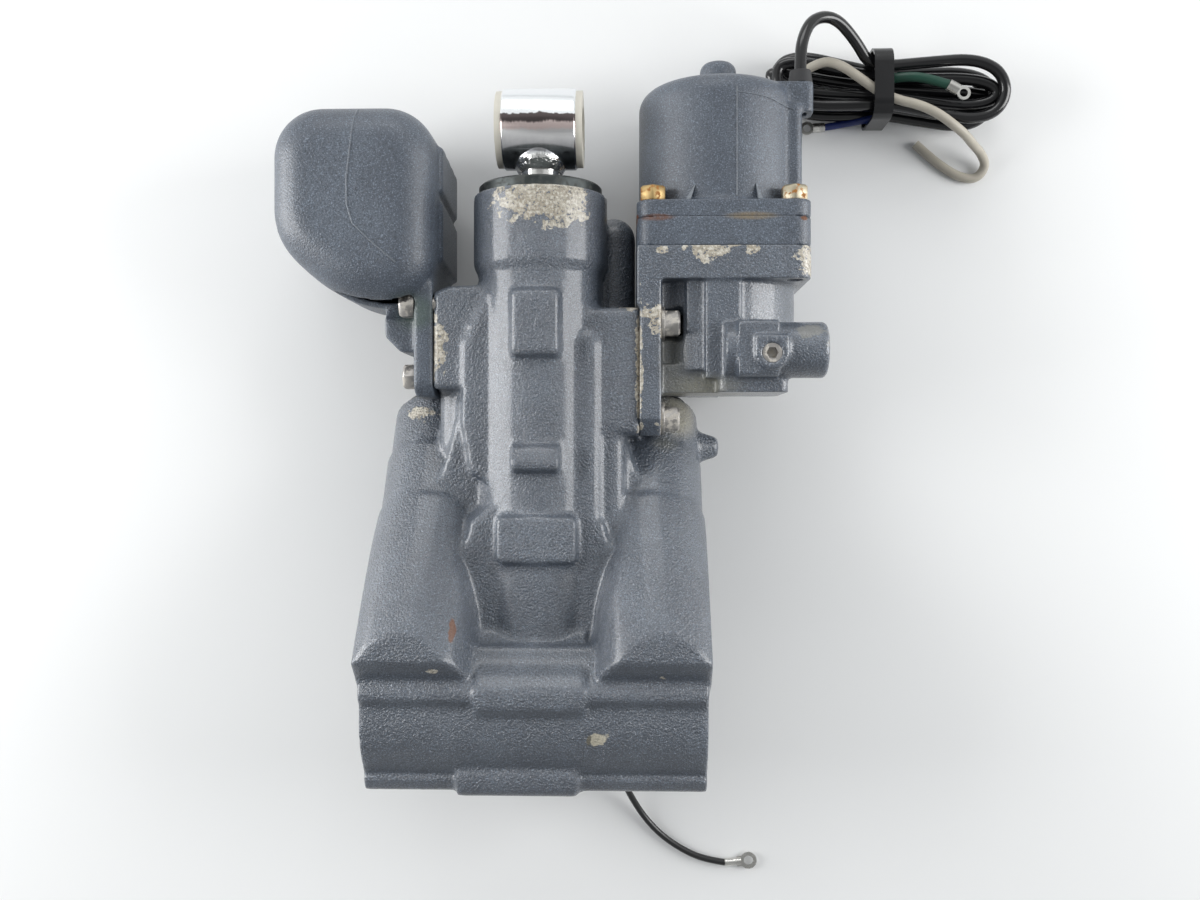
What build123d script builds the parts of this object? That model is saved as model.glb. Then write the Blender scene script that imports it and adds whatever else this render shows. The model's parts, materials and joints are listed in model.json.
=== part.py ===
"""A hydraulic power trim and tilt unit for an outboard motor, lying on its back.

+X runs along the lower pivot bore towards the motor, +Y along the tilt cylinder
towards the rod's eye, and +Z away from the surface that the unit lies on. The
origin is the centre of the lower pivot bore. Sizes are in millimetres.
"""

import os
from math import acos, cos, pi, radians, sin, sqrt, tan

from build123d import *

os.makedirs("parts", exist_ok=True)

# Clearances
running_gap = 0.05
free_gap = 0.3

# The surface that the unit rests on, and the lower pivot block
rest_z = -60.0
block_half = 82.0
side_wall_x = 83.4
pivot_pin_r = 11.0
pivot_bush_wall = 3.0
pivot_bush_length = 32.0
pivot_lobe_r = 26.5
block_top_y = 44.0
ridge_z = 49.5
front_z = 44.0
lip_z = 36.0
notch_x = 28.7
notch_r = 8.0

# Tilt cylinder
barrel_r = 31.2
collar_r = 33.7
collar_height = 40.5
tilt_bore_r = 25.0
tilt_bore_floor_y = 46.0
tilt_mouth_y = 264.5
gland_seat_r = 28.6
gland_seat_depth = 24.0
gland_flange_r = 31.0
gland_flange = 5.0
tilt_rod_r = 10.0
tilt_spigot_r = 7.0
tilt_piston_height = 24.0
tilt_piston_lift = 20.0
free_piston_height = 10.0
eye_rise = 29.7
eye_r = 20.0
eye_half = 18.5
eye_bush_r = 14.0
eye_pin_r = 11.0
bush_flange = 3.1
bush_flange_r = 18.9

# Trim cylinders, which lean back from the pivot block
trim_x = 55.8
trim_lean = radians(32.0)
trim_root_y = 40.0
trim_root_z = 32.0
trim_body_r = 27.6
trim_mid_r = 26.6
trim_mouth_r = 25.3
trim_mid_at = 72.0
trim_neck_at = 104.0
trim_edge = 2.5
heel_r = 33.0
heel_shift = 5.0
heel_back = 20.0
heel_flat_z = 56.0
heel_step_y = 39.5
trim_bore_r = 18.0
trim_bore_floor = 6.0
trim_gland_seat_r = 20.6
trim_gland_depth = 18.0
trim_gland_flange_r = 21.2
trim_gland_flange = 4.0
trim_rod_r = 9.5
trim_head_r = 12.0
trim_head = 9.0
trim_piston_height = 20.0
trim_stroke = 60.0

# Bosses and ribs on the casting
tank_face_x = -52.0
tank_boss_low_y = 167.0
tank_boss_high_y = 218.0
tank_boss_front_z = 18.0
pump_face_x = 50.0
pump_boss_low_y = 144.0
pump_boss_high_y = 207.0
pump_boss_front_z = 22.0
boss_back_z = -34.0
port_r = 4.0
nub_y = 138.5
nub_x = 92.0

# Motor, its base and the pump's housing
motor_x = 91.0
motor_r = 41.0
motor_wall = 3.4
motor_base_height = 14.0
motor_height = 72.0
motor_flange = 8.5
motor_flange_half = 42.5
base_low_y = 236.0
deck_height = 16.0
pump_body_r = 39.0
pump_floor_y = 165.0
pump_plate = 10.5
pump_cavity_r = 33.0
cavity_floor_y = 194.0
valve_y = 185.5
valve_z = 20.0
valve_boss_r = 13.6
valve_tip_x = 140.5
plug_x = 112.5

# Motor internals
magnet_wall = 5.0
air_gap = 1.0
shaft_r = 4.0
core_lift = 18.0
core_height = 34.0
seal_height = 3.0
bearing_height = 7.0
commutator_r = 11.0
bearing_r = 11.0

# Gear pump
gear_module = 1.5
gear_teeth = 11
gear_height = 10.0
gear_shaft_r = 4.0
gear_spacing = gear_module * gear_teeth + 0.2
gear_plate_r = 31.0

# Reservoir
tank_left_x = -131.0
tank_right_x = -50.0
tank_top_y = 306.0
tank_low_y = 208.5
tank_z = -10.0
tank_half_depth = 42.0
tank_wall = 3.0
tank_flange = 9.5
tank_bolts = [(209.0, 12.0), (174.0, 2.0)]

# Bolts and oil ports in the two boss faces, as their y and z
pump_bolts_at = [(199.0, 16.0), (152.5, 9.0), (180.0, -27.0)]
oil_ports = [(173.0, -7.0), (187.0, -7.0)]
port_y = 193.0
port_z = -8.0
seal_r = 6.6
seal_d = 1.8

# Fasteners
bolt_r = 4.0
bolt_flats = 12.0
bolt_head = 7.5
washer_r = 8.2
washer = 1.8

# Cables
harness_d = 6.0
lead_d = 5.0
earth_d = 3.5

motor_z = rest_z + motor_flange_half
motor_foot_y = base_low_y + motor_base_height
motor_top_y = motor_foot_y + motor_height
core_low_y = motor_foot_y + core_lift
core_high_y = core_low_y + core_height
deck_low_y = base_low_y - deck_height
deck_high_y = base_low_y
collar_foot_y = tilt_mouth_y - collar_height
tilt_piston_y = tilt_bore_floor_y + tilt_piston_lift
gland_low_y = tilt_mouth_y - gland_seat_depth
gland_top_y = tilt_mouth_y + gland_flange
eye_y = gland_top_y + eye_rise
sides = {"port": -1, "starboard": 1}

# The trim cylinders end where their mouths touch the surface
trim_length = trim_edge + (
    trim_root_z - rest_z - trim_edge - (trim_mouth_r - trim_edge) * cos(trim_lean)
) / sin(trim_lean)


def across(y):
    """A sketch plane at height y, drawn in (X, Z). Extrude by a negative amount to go up."""
    return Plane.XZ.offset(-y)


def save(part, label):
    part.label = label
    export_step(part, f"parts/{label}.step")


def turned(profile, plane=Plane.XY):
    """A turned solid: profile is (radius, height) pairs, round the plane's own Y axis."""
    with BuildPart() as piece:
        with BuildSketch(plane):
            with BuildLine():
                Polyline(*profile, close=True)
            make_face()
        revolve(axis=Axis(plane.origin, plane.y_dir))
    return piece.part


def stub(plane, radius, low, high, edge):
    """A round bar along the plane's own Y, its upper edge rounded."""
    bend = edge * sin(pi / 4)
    with BuildPart() as bar:
        with BuildSketch(plane):
            with BuildLine():
                Polyline((0, high), (0, low), (radius, low), (radius, high - edge))
                ThreePointArc(
                    (radius, high - edge),
                    (radius - edge + bend, high - edge + bend),
                    (radius - edge, high),
                )
                Line((radius - edge, high), (0, high))
            make_face()
        revolve(axis=Axis(plane.origin, plane.y_dir))
    return bar.part


def capsule(x, z, radius, low, high):
    """A rib with round ends, along Y."""
    bend = radius * sin(pi / 4)
    with BuildPart() as rib:
        with BuildSketch(Plane.XY.offset(z)):
            with BuildLine():
                Line((x, low), (x, high))
                ThreePointArc(
                    (x, high), (x + bend, high - radius + bend), (x + radius, high - radius)
                )
                Line((x + radius, high - radius), (x + radius, low + radius))
                ThreePointArc(
                    (x + radius, low + radius), (x + bend, low + radius - bend), (x, low)
                )
            make_face()
        revolve(axis=Axis((x, 0, z), (0, 1, 0)))
    return rib.part


def hex_bolt(shank, with_washer=True):
    """A bolt standing at the origin on what it clamps, its head up +Z and its shank down."""
    seat = washer if with_washer else 0.0
    with BuildPart() as bolt:
        if with_washer:
            with BuildSketch(Plane.XY):
                Circle(washer_r)
            extrude(amount=washer)
        with BuildSketch(Plane.XY.offset(seat)):
            RegularPolygon(bolt_flats / 2, 6, major_radius=False)
        extrude(amount=bolt_head)
        chamfer(bolt.faces().sort_by(Axis.Z)[-1].edges(), 0.08 * bolt_flats)
        with BuildSketch(Plane.XY):
            Circle(bolt_r)
        extrude(amount=-shank)
    return bolt.part


def placed(part, origin, up):
    """A copy of part with its own +Z along up and its origin at origin."""
    return Plane(origin=origin, z_dir=up).location * part


def trim_plane(side):
    """The plane of a trim cylinder: its own Y runs along the cylinder from the root."""
    return Plane(
        origin=(side * trim_x, trim_root_y, trim_root_z),
        x_dir=(1, 0, 0),
        z_dir=(0, sin(trim_lean), cos(trim_lean)),
    )


def trim_across(side, at):
    """A plane square to a trim cylinder, facing its mouth, at a distance from its root."""
    frame = trim_plane(side)
    return Plane(origin=frame.origin + frame.y_dir * at, x_dir=(1, 0, 0), z_dir=frame.y_dir)


# The earth screw's place under the pivot block: +Z is outward, +X towards the lug's barrel
earth_x = 38.5
earth_turn = radians(-118.0)
earth_screw_r = 3.0
earth_plane = Plane(
    origin=(earth_x, pivot_lobe_r * cos(earth_turn), pivot_lobe_r * sin(earth_turn)),
    x_dir=(0, sin(earth_turn), -cos(earth_turn)),
    z_dir=(0, cos(earth_turn), sin(earth_turn)),
)
motor_plane = Plane(origin=(motor_x, 0, motor_z), x_dir=(1, 0, 0), z_dir=(0, 0, 1))

# The trim barrels: a wide heel with flat sides blends into stepped round barrels
with BuildPart() as barrels:
    for side in sides.values():
        with BuildSketch(trim_across(side, -heel_back)):
            with Locations((side * heel_shift, heel_r - trim_body_r)):
                Circle(heel_r)
        with BuildSketch(trim_across(side, trim_mid_at)):
            Circle(trim_body_r)
        loft()
        with BuildSketch(trim_across(side, trim_mid_at)):
            Circle(trim_mid_r)
        extrude(amount=trim_neck_at - trim_mid_at)
        add(stub(trim_plane(side), trim_mouth_r, trim_neck_at, trim_length, trim_edge))
    # the heel is cut flat on top and slopes back below its step
    with BuildSketch(Plane.YZ):
        with BuildLine():
            Polyline(
                (130, heel_flat_z),
                (heel_step_y, heel_flat_z),
                (block_top_y - 16, ridge_z - 4),
                (0, 0),
                (-40, 0),
                (-40, 120),
                (130, 120),
                close=True,
            )
        make_face()
    extrude(amount=block_half + 40, both=True, mode=Mode.SUBTRACT)
    Box(2 * side_wall_x, 700, 400, mode=Mode.INTERSECT)

# The pivot block: its section is drawn in (Y, Z) and runs the full width
lobe_foot_y = -pivot_lobe_r
with BuildPart() as block:
    with BuildSketch(Plane.YZ.offset(-block_half)):
        with BuildLine():
            Polyline(
                (block_top_y, 0),
                (block_top_y, ridge_z - 14),
                (block_top_y - 15, ridge_z - 4.5),
                (block_top_y - 18.5, ridge_z - 0.6),
                (block_top_y - 23, ridge_z),
                (block_top_y - 27, ridge_z - 4),
            )
            Spline(
                (block_top_y - 27, ridge_z - 4),
                (-2, front_z),
                (lobe_foot_y + 8.5, lip_z - 2),
            )
            Polyline(
                (lobe_foot_y + 8.5, lip_z - 2),
                (lobe_foot_y + 7.0, lip_z + 0.4),
                (lobe_foot_y + 1.0, lip_z - 3),
                (lobe_foot_y, lip_z - 6),
                (lobe_foot_y, 0),
                (0, -6),
                (20, -6),
                (block_top_y, 0),
            )
        make_face()
        Circle(pivot_lobe_r)
    extrude(amount=2 * block_half)
    # the thicker middle of the ridge, and the lip under it
    with BuildSketch(Plane.YZ.offset(-27)):
        with BuildLine():
            Polyline(
                (block_top_y + 6, 25),
                (block_top_y - 12, ridge_z - 4),
                (block_top_y - 18, ridge_z + 1.2),
                (block_top_y - 27, ridge_z + 1.0),
                (block_top_y - 32, ridge_z - 4),
                (block_top_y - 32, 25),
                close=True,
            )
        make_face()
    extrude(amount=51)
    with BuildSketch(Plane.YZ.offset(-37)):
        with BuildLine():
            Polyline(
                (lobe_foot_y - 1.5, 6),
                (lobe_foot_y - 1.5, lip_z - 1),
                (lobe_foot_y + 1.5, lip_z + 2),
                (lobe_foot_y + 10, lip_z + 3.2),
                (lobe_foot_y + 13, lip_z),
                (lobe_foot_y + 13, 6),
                close=True,
            )
        make_face()
    extrude(amount=57.5)
    # a machined trough below the ridge
    with BuildSketch(Plane(origin=(notch_x, 3, ridge_z + 3), z_dir=(0, -1, -0.36))):
        Circle(notch_r)
    extrude(amount=60, mode=Mode.SUBTRACT)

# The boss that carries the reservoir, and the smooth panel beside it
with BuildPart() as tank_boss:
    with BuildSketch(Plane.XY.offset(boss_back_z)):
        with BuildLine():
            Polyline(
                (tank_face_x, tank_boss_low_y),
                (tank_face_x, tank_boss_high_y - 3),
                (tank_face_x + 7, tank_boss_high_y),
                (-18, tank_boss_high_y + 1),
                (-10, tank_boss_low_y + 25),
                (-10, tank_boss_low_y),
                close=True,
            )
        make_face()
    extrude(amount=tank_boss_front_z - boss_back_z)
    fillet(tank_boss.edges().group_by(Axis.Z)[-1], 3.0)
    with BuildSketch(Plane.XY):
        with BuildLine():
            Polyline(
                (-8, tank_boss_high_y),
                (-24, tank_boss_high_y - 2),
                (-29, tank_boss_high_y - 12),
                (-36, 190),
                (-37.5, 150),
                (-33, 126),
                (-8, 110),
                close=True,
            )
        make_face()
    extrude(amount=20.5)

# The boss that carries the pump
with BuildPart() as pump_boss:
    with BuildSketch(Plane.XY.offset(boss_back_z)):
        with Locations(((pump_face_x + 12) / 2, (pump_boss_low_y + pump_boss_high_y) / 2)):
            Rectangle(pump_face_x - 12, pump_boss_high_y - pump_boss_low_y)
    extrude(amount=pump_boss_front_z - boss_back_z)
    fillet(pump_boss.edges().filter_by(Axis.X), 5.0)

# The web between the barrels, narrower where the trim barrels lean away
with BuildPart() as web:
    with BuildSketch(Plane.XY.offset(-16)):
        with BuildLine():
            Polyline(
                (0, 16),
                (58, 16),
                (57, 100),
                (45, 136),
                (41, 152),
                (38, 186),
                (28, 214),
                (0, 216),
                close=True,
            )
        make_face()
    extrude(amount=28)
    with BuildSketch(Plane.XY.offset(12)):
        with BuildLine():
            Polyline((0, 22), (50, 30), (44, 70), (36, 104), (20, 118), (0, 118), close=True)
        make_face()
    extrude(amount=13, taper=20)
    mirror(about=Plane.YZ)

# Pads on the front of the tilt cylinder
with BuildPart() as pads:
    with BuildSketch(Plane.XY.offset(barrel_r - 12)):
        with Locations((0, 198)):
            RectangleRounded(27, 36, 4)
    extrude(amount=17.5, taper=8)
    with BuildSketch(Plane.XY.offset(barrel_r - 14)):
        with Locations((0.3, 94)):
            RectangleRounded(40, 24, 4)
    extrude(amount=17.2, taper=3)
    with BuildSketch(Plane.YZ.offset(-11.3)):
        with BuildLine():
            Polyline((140, 24), (139, 34), (131, 38), (127, 36.5), (125, 24), close=True)
        make_face()
    extrude(amount=22.6)
    fillet(pads.edges().filter_by(Axis.X).filter_by(lambda e: e.center().Z > 35), 1.5)

# Oil galleries beside the tilt cylinder, the column at the back and the port side's rib
ribs = [
    capsule(24.8, 18.6, 7.0, 18.0, 196.0),
    capsule(36.2, 14.0, 6.6, 60.0, 194.0),
    capsule(36.6, -22.0, 11.4, 120.0, 258.5),
    capsule(-41.5, -1.0, 9.6, 130.0, 186.0),
]

# The whole casting
with BuildPart() as cylinder_casting:
    add(
        turned(
            [
                (0, 14),
                (barrel_r, 14),
                (barrel_r, collar_foot_y),
                (collar_r, collar_foot_y + 5),
                (collar_r, tilt_mouth_y),
                (0, tilt_mouth_y),
            ]
        )
    )
    for piece in (barrels, block, tank_boss, pump_boss, web, pads):
        add(piece.part)
    for rib in ribs:
        add(rib)
    # the round nub that closes a cross drilling in the starboard barrel
    nub_drop = tan(trim_lean) * (nub_y - trim_root_y)
    with BuildSketch(Plane(origin=(nub_x, nub_y, trim_root_z - nub_drop), z_dir=(1, 0, 0))):
        Circle(5.0)
    extrude(amount=-18, taper=-18)
    # bores
    with BuildSketch(across(tilt_bore_floor_y)):
        Circle(tilt_bore_r)
    extrude(amount=-(tilt_mouth_y - tilt_bore_floor_y), mode=Mode.SUBTRACT)
    with BuildSketch(across(gland_low_y)):
        Circle(gland_seat_r)
    extrude(amount=-gland_seat_depth, mode=Mode.SUBTRACT)
    for side in sides.values():
        with BuildSketch(trim_across(side, trim_bore_floor)):
            Circle(trim_bore_r)
        extrude(amount=trim_length - trim_bore_floor, mode=Mode.SUBTRACT)
        with BuildSketch(trim_across(side, trim_length - trim_gland_depth)):
            Circle(trim_gland_seat_r)
        extrude(amount=trim_gland_depth, mode=Mode.SUBTRACT)
        # room beyond the mouth for the end screw and the rod's head
        with BuildSketch(trim_across(side, trim_length)):
            Circle(trim_gland_flange_r + 1.5)
        extrude(amount=trim_stroke + 30, mode=Mode.SUBTRACT)
    with BuildSketch(Plane.YZ):
        Circle(pivot_pin_r + pivot_bush_wall)
    extrude(amount=block_half + 5, both=True, mode=Mode.SUBTRACT)
    # bolt holes and oil ports in the two boss faces
    for bolt_y, bolt_z in tank_bolts:
        with BuildSketch(Plane(origin=(tank_face_x, bolt_y, bolt_z), z_dir=(1, 0, 0))):
            Circle(bolt_r)
        extrude(amount=13.5, mode=Mode.SUBTRACT)
    for bolt_y, bolt_z in pump_bolts_at:
        with BuildSketch(Plane(origin=(pump_face_x, bolt_y, bolt_z), z_dir=(-1, 0, 0))):
            Circle(bolt_r)
        extrude(amount=14.5, mode=Mode.SUBTRACT)
    for hole_y, hole_z in oil_ports:
        with BuildSketch(Plane(origin=(pump_face_x, hole_y, hole_z), z_dir=(-1, 0, 0))):
            Circle(port_r)
        extrude(amount=18, mode=Mode.SUBTRACT)
    with BuildSketch(Plane(origin=(tank_face_x, port_y, port_z), z_dir=(1, 0, 0))):
        Circle(port_r)
    extrude(amount=18, mode=Mode.SUBTRACT)
    with BuildSketch(earth_plane):
        Circle(earth_screw_r)
    extrude(amount=-9, mode=Mode.SUBTRACT)
save(cylinder_casting.part, "cylinder_casting")

# Sleeves of the lower pivot, one in each end of the block
with BuildPart() as pivot_bushes:
    for side in sides.values():
        with BuildSketch(Plane.YZ.offset(side * block_half)):
            Circle(pivot_pin_r + pivot_bush_wall)
            Circle(pivot_pin_r, mode=Mode.SUBTRACT)
        extrude(amount=-side * pivot_bush_length)
save(pivot_bushes.part, "pivot_bushes")

# Tilt cylinder: end screw, wiper, rod, piston and the floating piston under it
wiper_depth = 4.0
wiper_band = 3.6
rod_bore_r = tilt_rod_r + running_gap
with BuildPart() as tilt_gland:
    add(
        turned(
            [
                (rod_bore_r, gland_low_y),
                (gland_seat_r, gland_low_y),
                (gland_seat_r, tilt_mouth_y),
                (gland_flange_r, tilt_mouth_y),
                (gland_flange_r, gland_top_y - 1),
                (gland_flange_r - 1, gland_top_y),
                (tilt_rod_r + wiper_band, gland_top_y),
                (tilt_rod_r + wiper_band, gland_top_y - wiper_depth),
                (rod_bore_r, gland_top_y - wiper_depth),
            ]
        )
    )
    with BuildSketch(across(gland_top_y)):
        with PolarLocations(22.5, 4, 45):
            Circle(2.2)
    extrude(amount=4, mode=Mode.SUBTRACT)
save(tilt_gland.part, "tilt_gland")

tilt_wiper_profile = [
    (rod_bore_r, gland_top_y - wiper_depth),
    (tilt_rod_r + wiper_band, gland_top_y - wiper_depth),
    (tilt_rod_r + wiper_band, gland_top_y),
    (tilt_rod_r + 1.6, gland_top_y + 1.0),
    (rod_bore_r, gland_top_y + 0.6),
]
free_piston_y = tilt_bore_floor_y + free_gap
free_piston_top = free_piston_y + free_piston_height
rod_foot_y = free_piston_top + free_gap
piston_top_y = tilt_piston_y + tilt_piston_height
piston_r = tilt_bore_r - free_gap
ring_depth = 2.2
ring_height = 5.0
ring_r = tilt_bore_r - running_gap


def grooved_piston(inner, outer, low, height, groove):
    """The (radius, height) profile of a piston with one ring groove at mid height."""
    mid = low + height / 2
    return [
        (inner, low),
        (outer, low),
        (outer, mid - groove / 2),
        (outer - ring_depth, mid - groove / 2),
        (outer - ring_depth, mid + groove / 2),
        (outer, mid + groove / 2),
        (outer, low + height),
        (inner, low + height),
    ]


def piston_ring(outer, seat, low, height, groove):
    mid = low + height / 2
    return [
        (seat, mid - groove / 2),
        (outer, mid - groove / 2),
        (outer, mid + groove / 2),
        (seat, mid + groove / 2),
    ]


with BuildPart() as tilt_rod:
    add(
        turned(
            [
                (0, rod_foot_y),
                (tilt_spigot_r, rod_foot_y),
                (tilt_spigot_r, piston_top_y),
                (tilt_rod_r, piston_top_y),
                (tilt_rod_r, eye_y),
                (0, eye_y),
            ]
        )
    )
    with BuildSketch(Plane.YZ):
        with Locations((eye_y, 0)):
            Circle(eye_r)
    extrude(amount=eye_half, both=True, mode=Mode.SUBTRACT)
save(tilt_rod.part, "tilt_rod")

with BuildPart() as tilt_eye:
    with BuildSketch(Plane.YZ):
        with Locations((eye_y, 0)):
            Circle(eye_r)
    extrude(amount=eye_half, both=True)
    chamfer(tilt_eye.edges().filter_by(GeomType.CIRCLE), 0.8)
    # the weld bead round the end of the rod
    weld_low = eye_y - eye_r - 2.0
    add(
        turned(
            [
                (tilt_rod_r, weld_low),
                (tilt_rod_r + 1.4, weld_low),
                (tilt_rod_r + 4.6, weld_low + 5),
                (tilt_rod_r + 5.4, weld_low + 10),
                (tilt_rod_r, weld_low + 10),
            ]
        )
    )
    with BuildSketch(Plane.YZ):
        with Locations((eye_y, 0)):
            Circle(eye_bush_r)
    extrude(amount=eye_half, both=True, mode=Mode.SUBTRACT)
save(tilt_eye.part, "tilt_eye")

with BuildPart() as eye_bushes:
    for side in sides.values():
        with BuildSketch(Plane.YZ.offset(side * eye_half)):
            with Locations((eye_y, 0)):
                Circle(eye_bush_r)
        extrude(amount=-side * (eye_half - 0.5))
        with BuildSketch(Plane.YZ.offset(side * eye_half)):
            with Locations((eye_y, 0)):
                Circle(bush_flange_r)
        extrude(amount=side * bush_flange)
    with BuildSketch(Plane.YZ):
        with Locations((eye_y, 0)):
            Circle(eye_pin_r)
    extrude(amount=eye_half + bush_flange, both=True, mode=Mode.SUBTRACT)
save(eye_bushes.part, "eye_bushes")

with BuildPart() as tilt_piston:
    add(
        turned(
            grooved_piston(
                tilt_spigot_r, piston_r, tilt_piston_y, tilt_piston_height, ring_height
            )
        )
    )
    # passages of the shock valves
    with BuildSketch(across(tilt_piston_y)):
        with PolarLocations(15.0, 6):
            Circle(1.8)
    extrude(amount=-tilt_piston_height, mode=Mode.SUBTRACT)
save(tilt_piston.part, "tilt_piston")
ring_seat = piston_r - ring_depth
save(
    turned(piston_ring(ring_r, ring_seat, tilt_piston_y, tilt_piston_height, ring_height)),
    "tilt_piston_ring",
)

with BuildPart() as tilt_nut:
    with BuildSketch(across(tilt_piston_y)):
        RegularPolygon(11.5, 6, major_radius=False)
        Circle(tilt_spigot_r, mode=Mode.SUBTRACT)
    extrude(amount=tilt_piston_y - free_piston_top - 1.2)
save(tilt_nut.part, "tilt_nut")

free_groove = 3.0
save(
    turned(grooved_piston(0, piston_r, free_piston_y, free_piston_height, free_groove)),
    "free_piston",
)
save(
    turned(piston_ring(ring_r, ring_seat, free_piston_y, free_piston_height, free_groove)),
    "free_piston_ring",
)

# Trim cylinders: end screws, wipers and the rods that push with their round heads
trim_wiper_r = trim_rod_r + 3.0
trim_rod_bore_r = trim_rod_r + running_gap
trim_gland_top = trim_length + trim_gland_flange
trim_piston_at = trim_bore_floor + 4.0
trim_piston_top = trim_piston_at + trim_piston_height
trim_head_at = trim_gland_top + 1.2
trim_piston_r = trim_bore_r - free_gap
trim_groove = 4.0
trim_gland_profile = [
    (trim_rod_bore_r, trim_length - trim_gland_depth),
    (trim_gland_seat_r, trim_length - trim_gland_depth),
    (trim_gland_seat_r, trim_length),
    (trim_gland_flange_r, trim_length),
    (trim_gland_flange_r, trim_gland_top - 0.8),
    (trim_gland_flange_r - 0.8, trim_gland_top),
    (trim_wiper_r, trim_gland_top),
    (trim_wiper_r, trim_gland_top - 3),
    (trim_rod_bore_r, trim_gland_top - 3),
]
trim_wiper_profile = [
    (trim_rod_bore_r, trim_gland_top - 3),
    (trim_wiper_r, trim_gland_top - 3),
    (trim_wiper_r, trim_gland_top),
    (trim_rod_r + 1.4, trim_gland_top + 0.8),
    (trim_rod_bore_r, trim_gland_top + 0.5),
]
with BuildPart() as trim_glands:
    for side in sides.values():
        add(turned(trim_gland_profile, trim_plane(side)))
save(trim_glands.part, "trim_glands")
with BuildPart() as rod_wipers:
    add(turned(tilt_wiper_profile))
    for side in sides.values():
        add(turned(trim_wiper_profile, trim_plane(side)))
save(rod_wipers.part, "rod_wipers")

for name, side in sides.items():
    plane = trim_plane(side)
    piston = grooved_piston(
        0, trim_piston_r, trim_piston_at, trim_piston_height, trim_groove
    )
    save(
        turned(
            piston[:-1]
            + [
                (trim_rod_r, trim_piston_top),
                (trim_rod_r, trim_head_at),
                (trim_head_r, trim_head_at),
                (trim_head_r, trim_head_at + 0.45 * trim_head),
                (0.72 * trim_head_r, trim_head_at + 0.86 * trim_head),
                (0.3 * trim_head_r, trim_head_at + trim_head),
                (0, trim_head_at + trim_head),
            ],
            plane,
        ),
        f"trim_rod_{name}",
    )
    save(
        turned(
            piston_ring(
                trim_bore_r - running_gap,
                trim_piston_r - ring_depth,
                trim_piston_at,
                trim_piston_height,
                trim_groove,
            ),
            plane,
        ),
        f"trim_piston_ring_{name}",
    )

# Reservoir: a hollow moulding with a neck and a flange for its two bolts
tank_round = 25.0
tank_edge = 19.0
neck_left_x = -78.0
neck_low_y = 186.0
flange_left_x = tank_face_x - tank_flange
filler_x = -92.0
filler_y = 262.0
filler_r = 8.0


def tank_body(inset):
    """The reservoir's rounded body, each side moved in by inset."""
    left, right = tank_left_x + inset, tank_right_x - inset
    low, top = tank_low_y + inset, tank_top_y - inset
    bend = tank_round - inset
    half = tank_half_depth - inset
    with BuildPart() as body:
        with BuildSketch(Plane.XY.offset(tank_z - half)):
            with BuildLine():
                Line((left, low + 48), (left, top - bend))
                RadiusArc((left, top - bend), (left + bend, top), bend)
                Line((left + bend, top), (right - bend, top))
                RadiusArc((right - bend, top), (right, top - bend), bend)
                Line((right, top - bend), (right, low + bend))
                RadiusArc((right, low + bend), (right - bend, low), bend)
                Spline(
                    (right - bend, low),
                    (left + 16, low + 17),
                    (left, low + 48),
                    tangents=[(-1, 0), (0, 1)],
                )
            make_face()
        extrude(amount=2 * half)
        fillet(
            body.edges().group_by(Axis.Z)[0] + body.edges().group_by(Axis.Z)[-1],
            tank_edge - inset,
        )
    return body.part


with BuildPart() as reservoir:
    add(tank_body(0))
    # the neck and its flange
    with BuildSketch(Plane.XY.offset(tank_z - 17)):
        with BuildLine():
            Polyline(
                (flange_left_x, neck_low_y),
                (flange_left_x, tank_low_y + 16),
                (neck_left_x - 4, tank_low_y + 16),
                (neck_left_x, tank_low_y),
                (neck_left_x, neck_low_y + 8),
                (neck_left_x + 8, neck_low_y),
                close=True,
            )
        make_face()
    extrude(amount=34)
    with BuildSketch(Plane.YZ.offset(flange_left_x)):
        with Locations((port_y + 1, 0)):
            RectangleRounded(62, 36, 9)
    extrude(amount=tank_flange)
    # raised panels on the side that faces the tilt cylinder
    for panel_low, panel_high in ((226, 256), (260, 284)):
        with BuildSketch(Plane.YZ.offset(tank_right_x - 1.5)):
            with BuildLine():
                Polyline(
                    (panel_low, tank_z - 26),
                    (panel_low + 5, tank_z + 22),
                    (panel_high + 5, tank_z + 22),
                    (panel_high, tank_z - 26),
                    close=True,
                )
            make_face()
        extrude(amount=3.6, taper=10)
    add(tank_body(tank_wall), mode=Mode.SUBTRACT)
    # the way out of the neck, and the holes of the filler and of the bolts
    way_out = [(0, 0), (seal_r, 0), (seal_r, seal_d), (port_r, seal_d), (port_r, 20), (0, 20)]
    inward = Plane(origin=(tank_face_x, port_y, port_z), x_dir=(0, 1, 0), z_dir=(0, 0, 1))
    add(turned(way_out, inward), mode=Mode.SUBTRACT)
    with BuildSketch(across(port_y)):
        with Locations((flange_left_x - 8, port_z)):
            Circle(port_r)
    extrude(amount=-(tank_low_y + 12 - port_y), mode=Mode.SUBTRACT)
    with BuildSketch(Plane.XY.offset(tank_z - tank_half_depth)):
        with Locations((filler_x, filler_y)):
            Circle(filler_r)
    extrude(amount=tank_wall + 1, mode=Mode.SUBTRACT)
    for bolt_y, bolt_z in tank_bolts:
        with BuildSketch(Plane(origin=(tank_face_x, bolt_y, bolt_z), z_dir=(-1, 0, 0))):
            Circle(bolt_r)
        extrude(amount=tank_flange, mode=Mode.SUBTRACT)
        with BuildSketch(Plane(origin=(flange_left_x, bolt_y, bolt_z), z_dir=(-1, 0, 0))):
            Circle(washer_r)
        extrude(amount=40, mode=Mode.SUBTRACT)
save(reservoir.part, "reservoir")

with BuildPart() as reservoir_bolts:
    for bolt_y, bolt_z in tank_bolts:
        bolt = hex_bolt(tank_flange + 13, with_washer=False)
        add(placed(bolt, (flange_left_x, bolt_y, bolt_z), (-1, 0, 0)))
save(reservoir_bolts.part, "reservoir_bolts")

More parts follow.
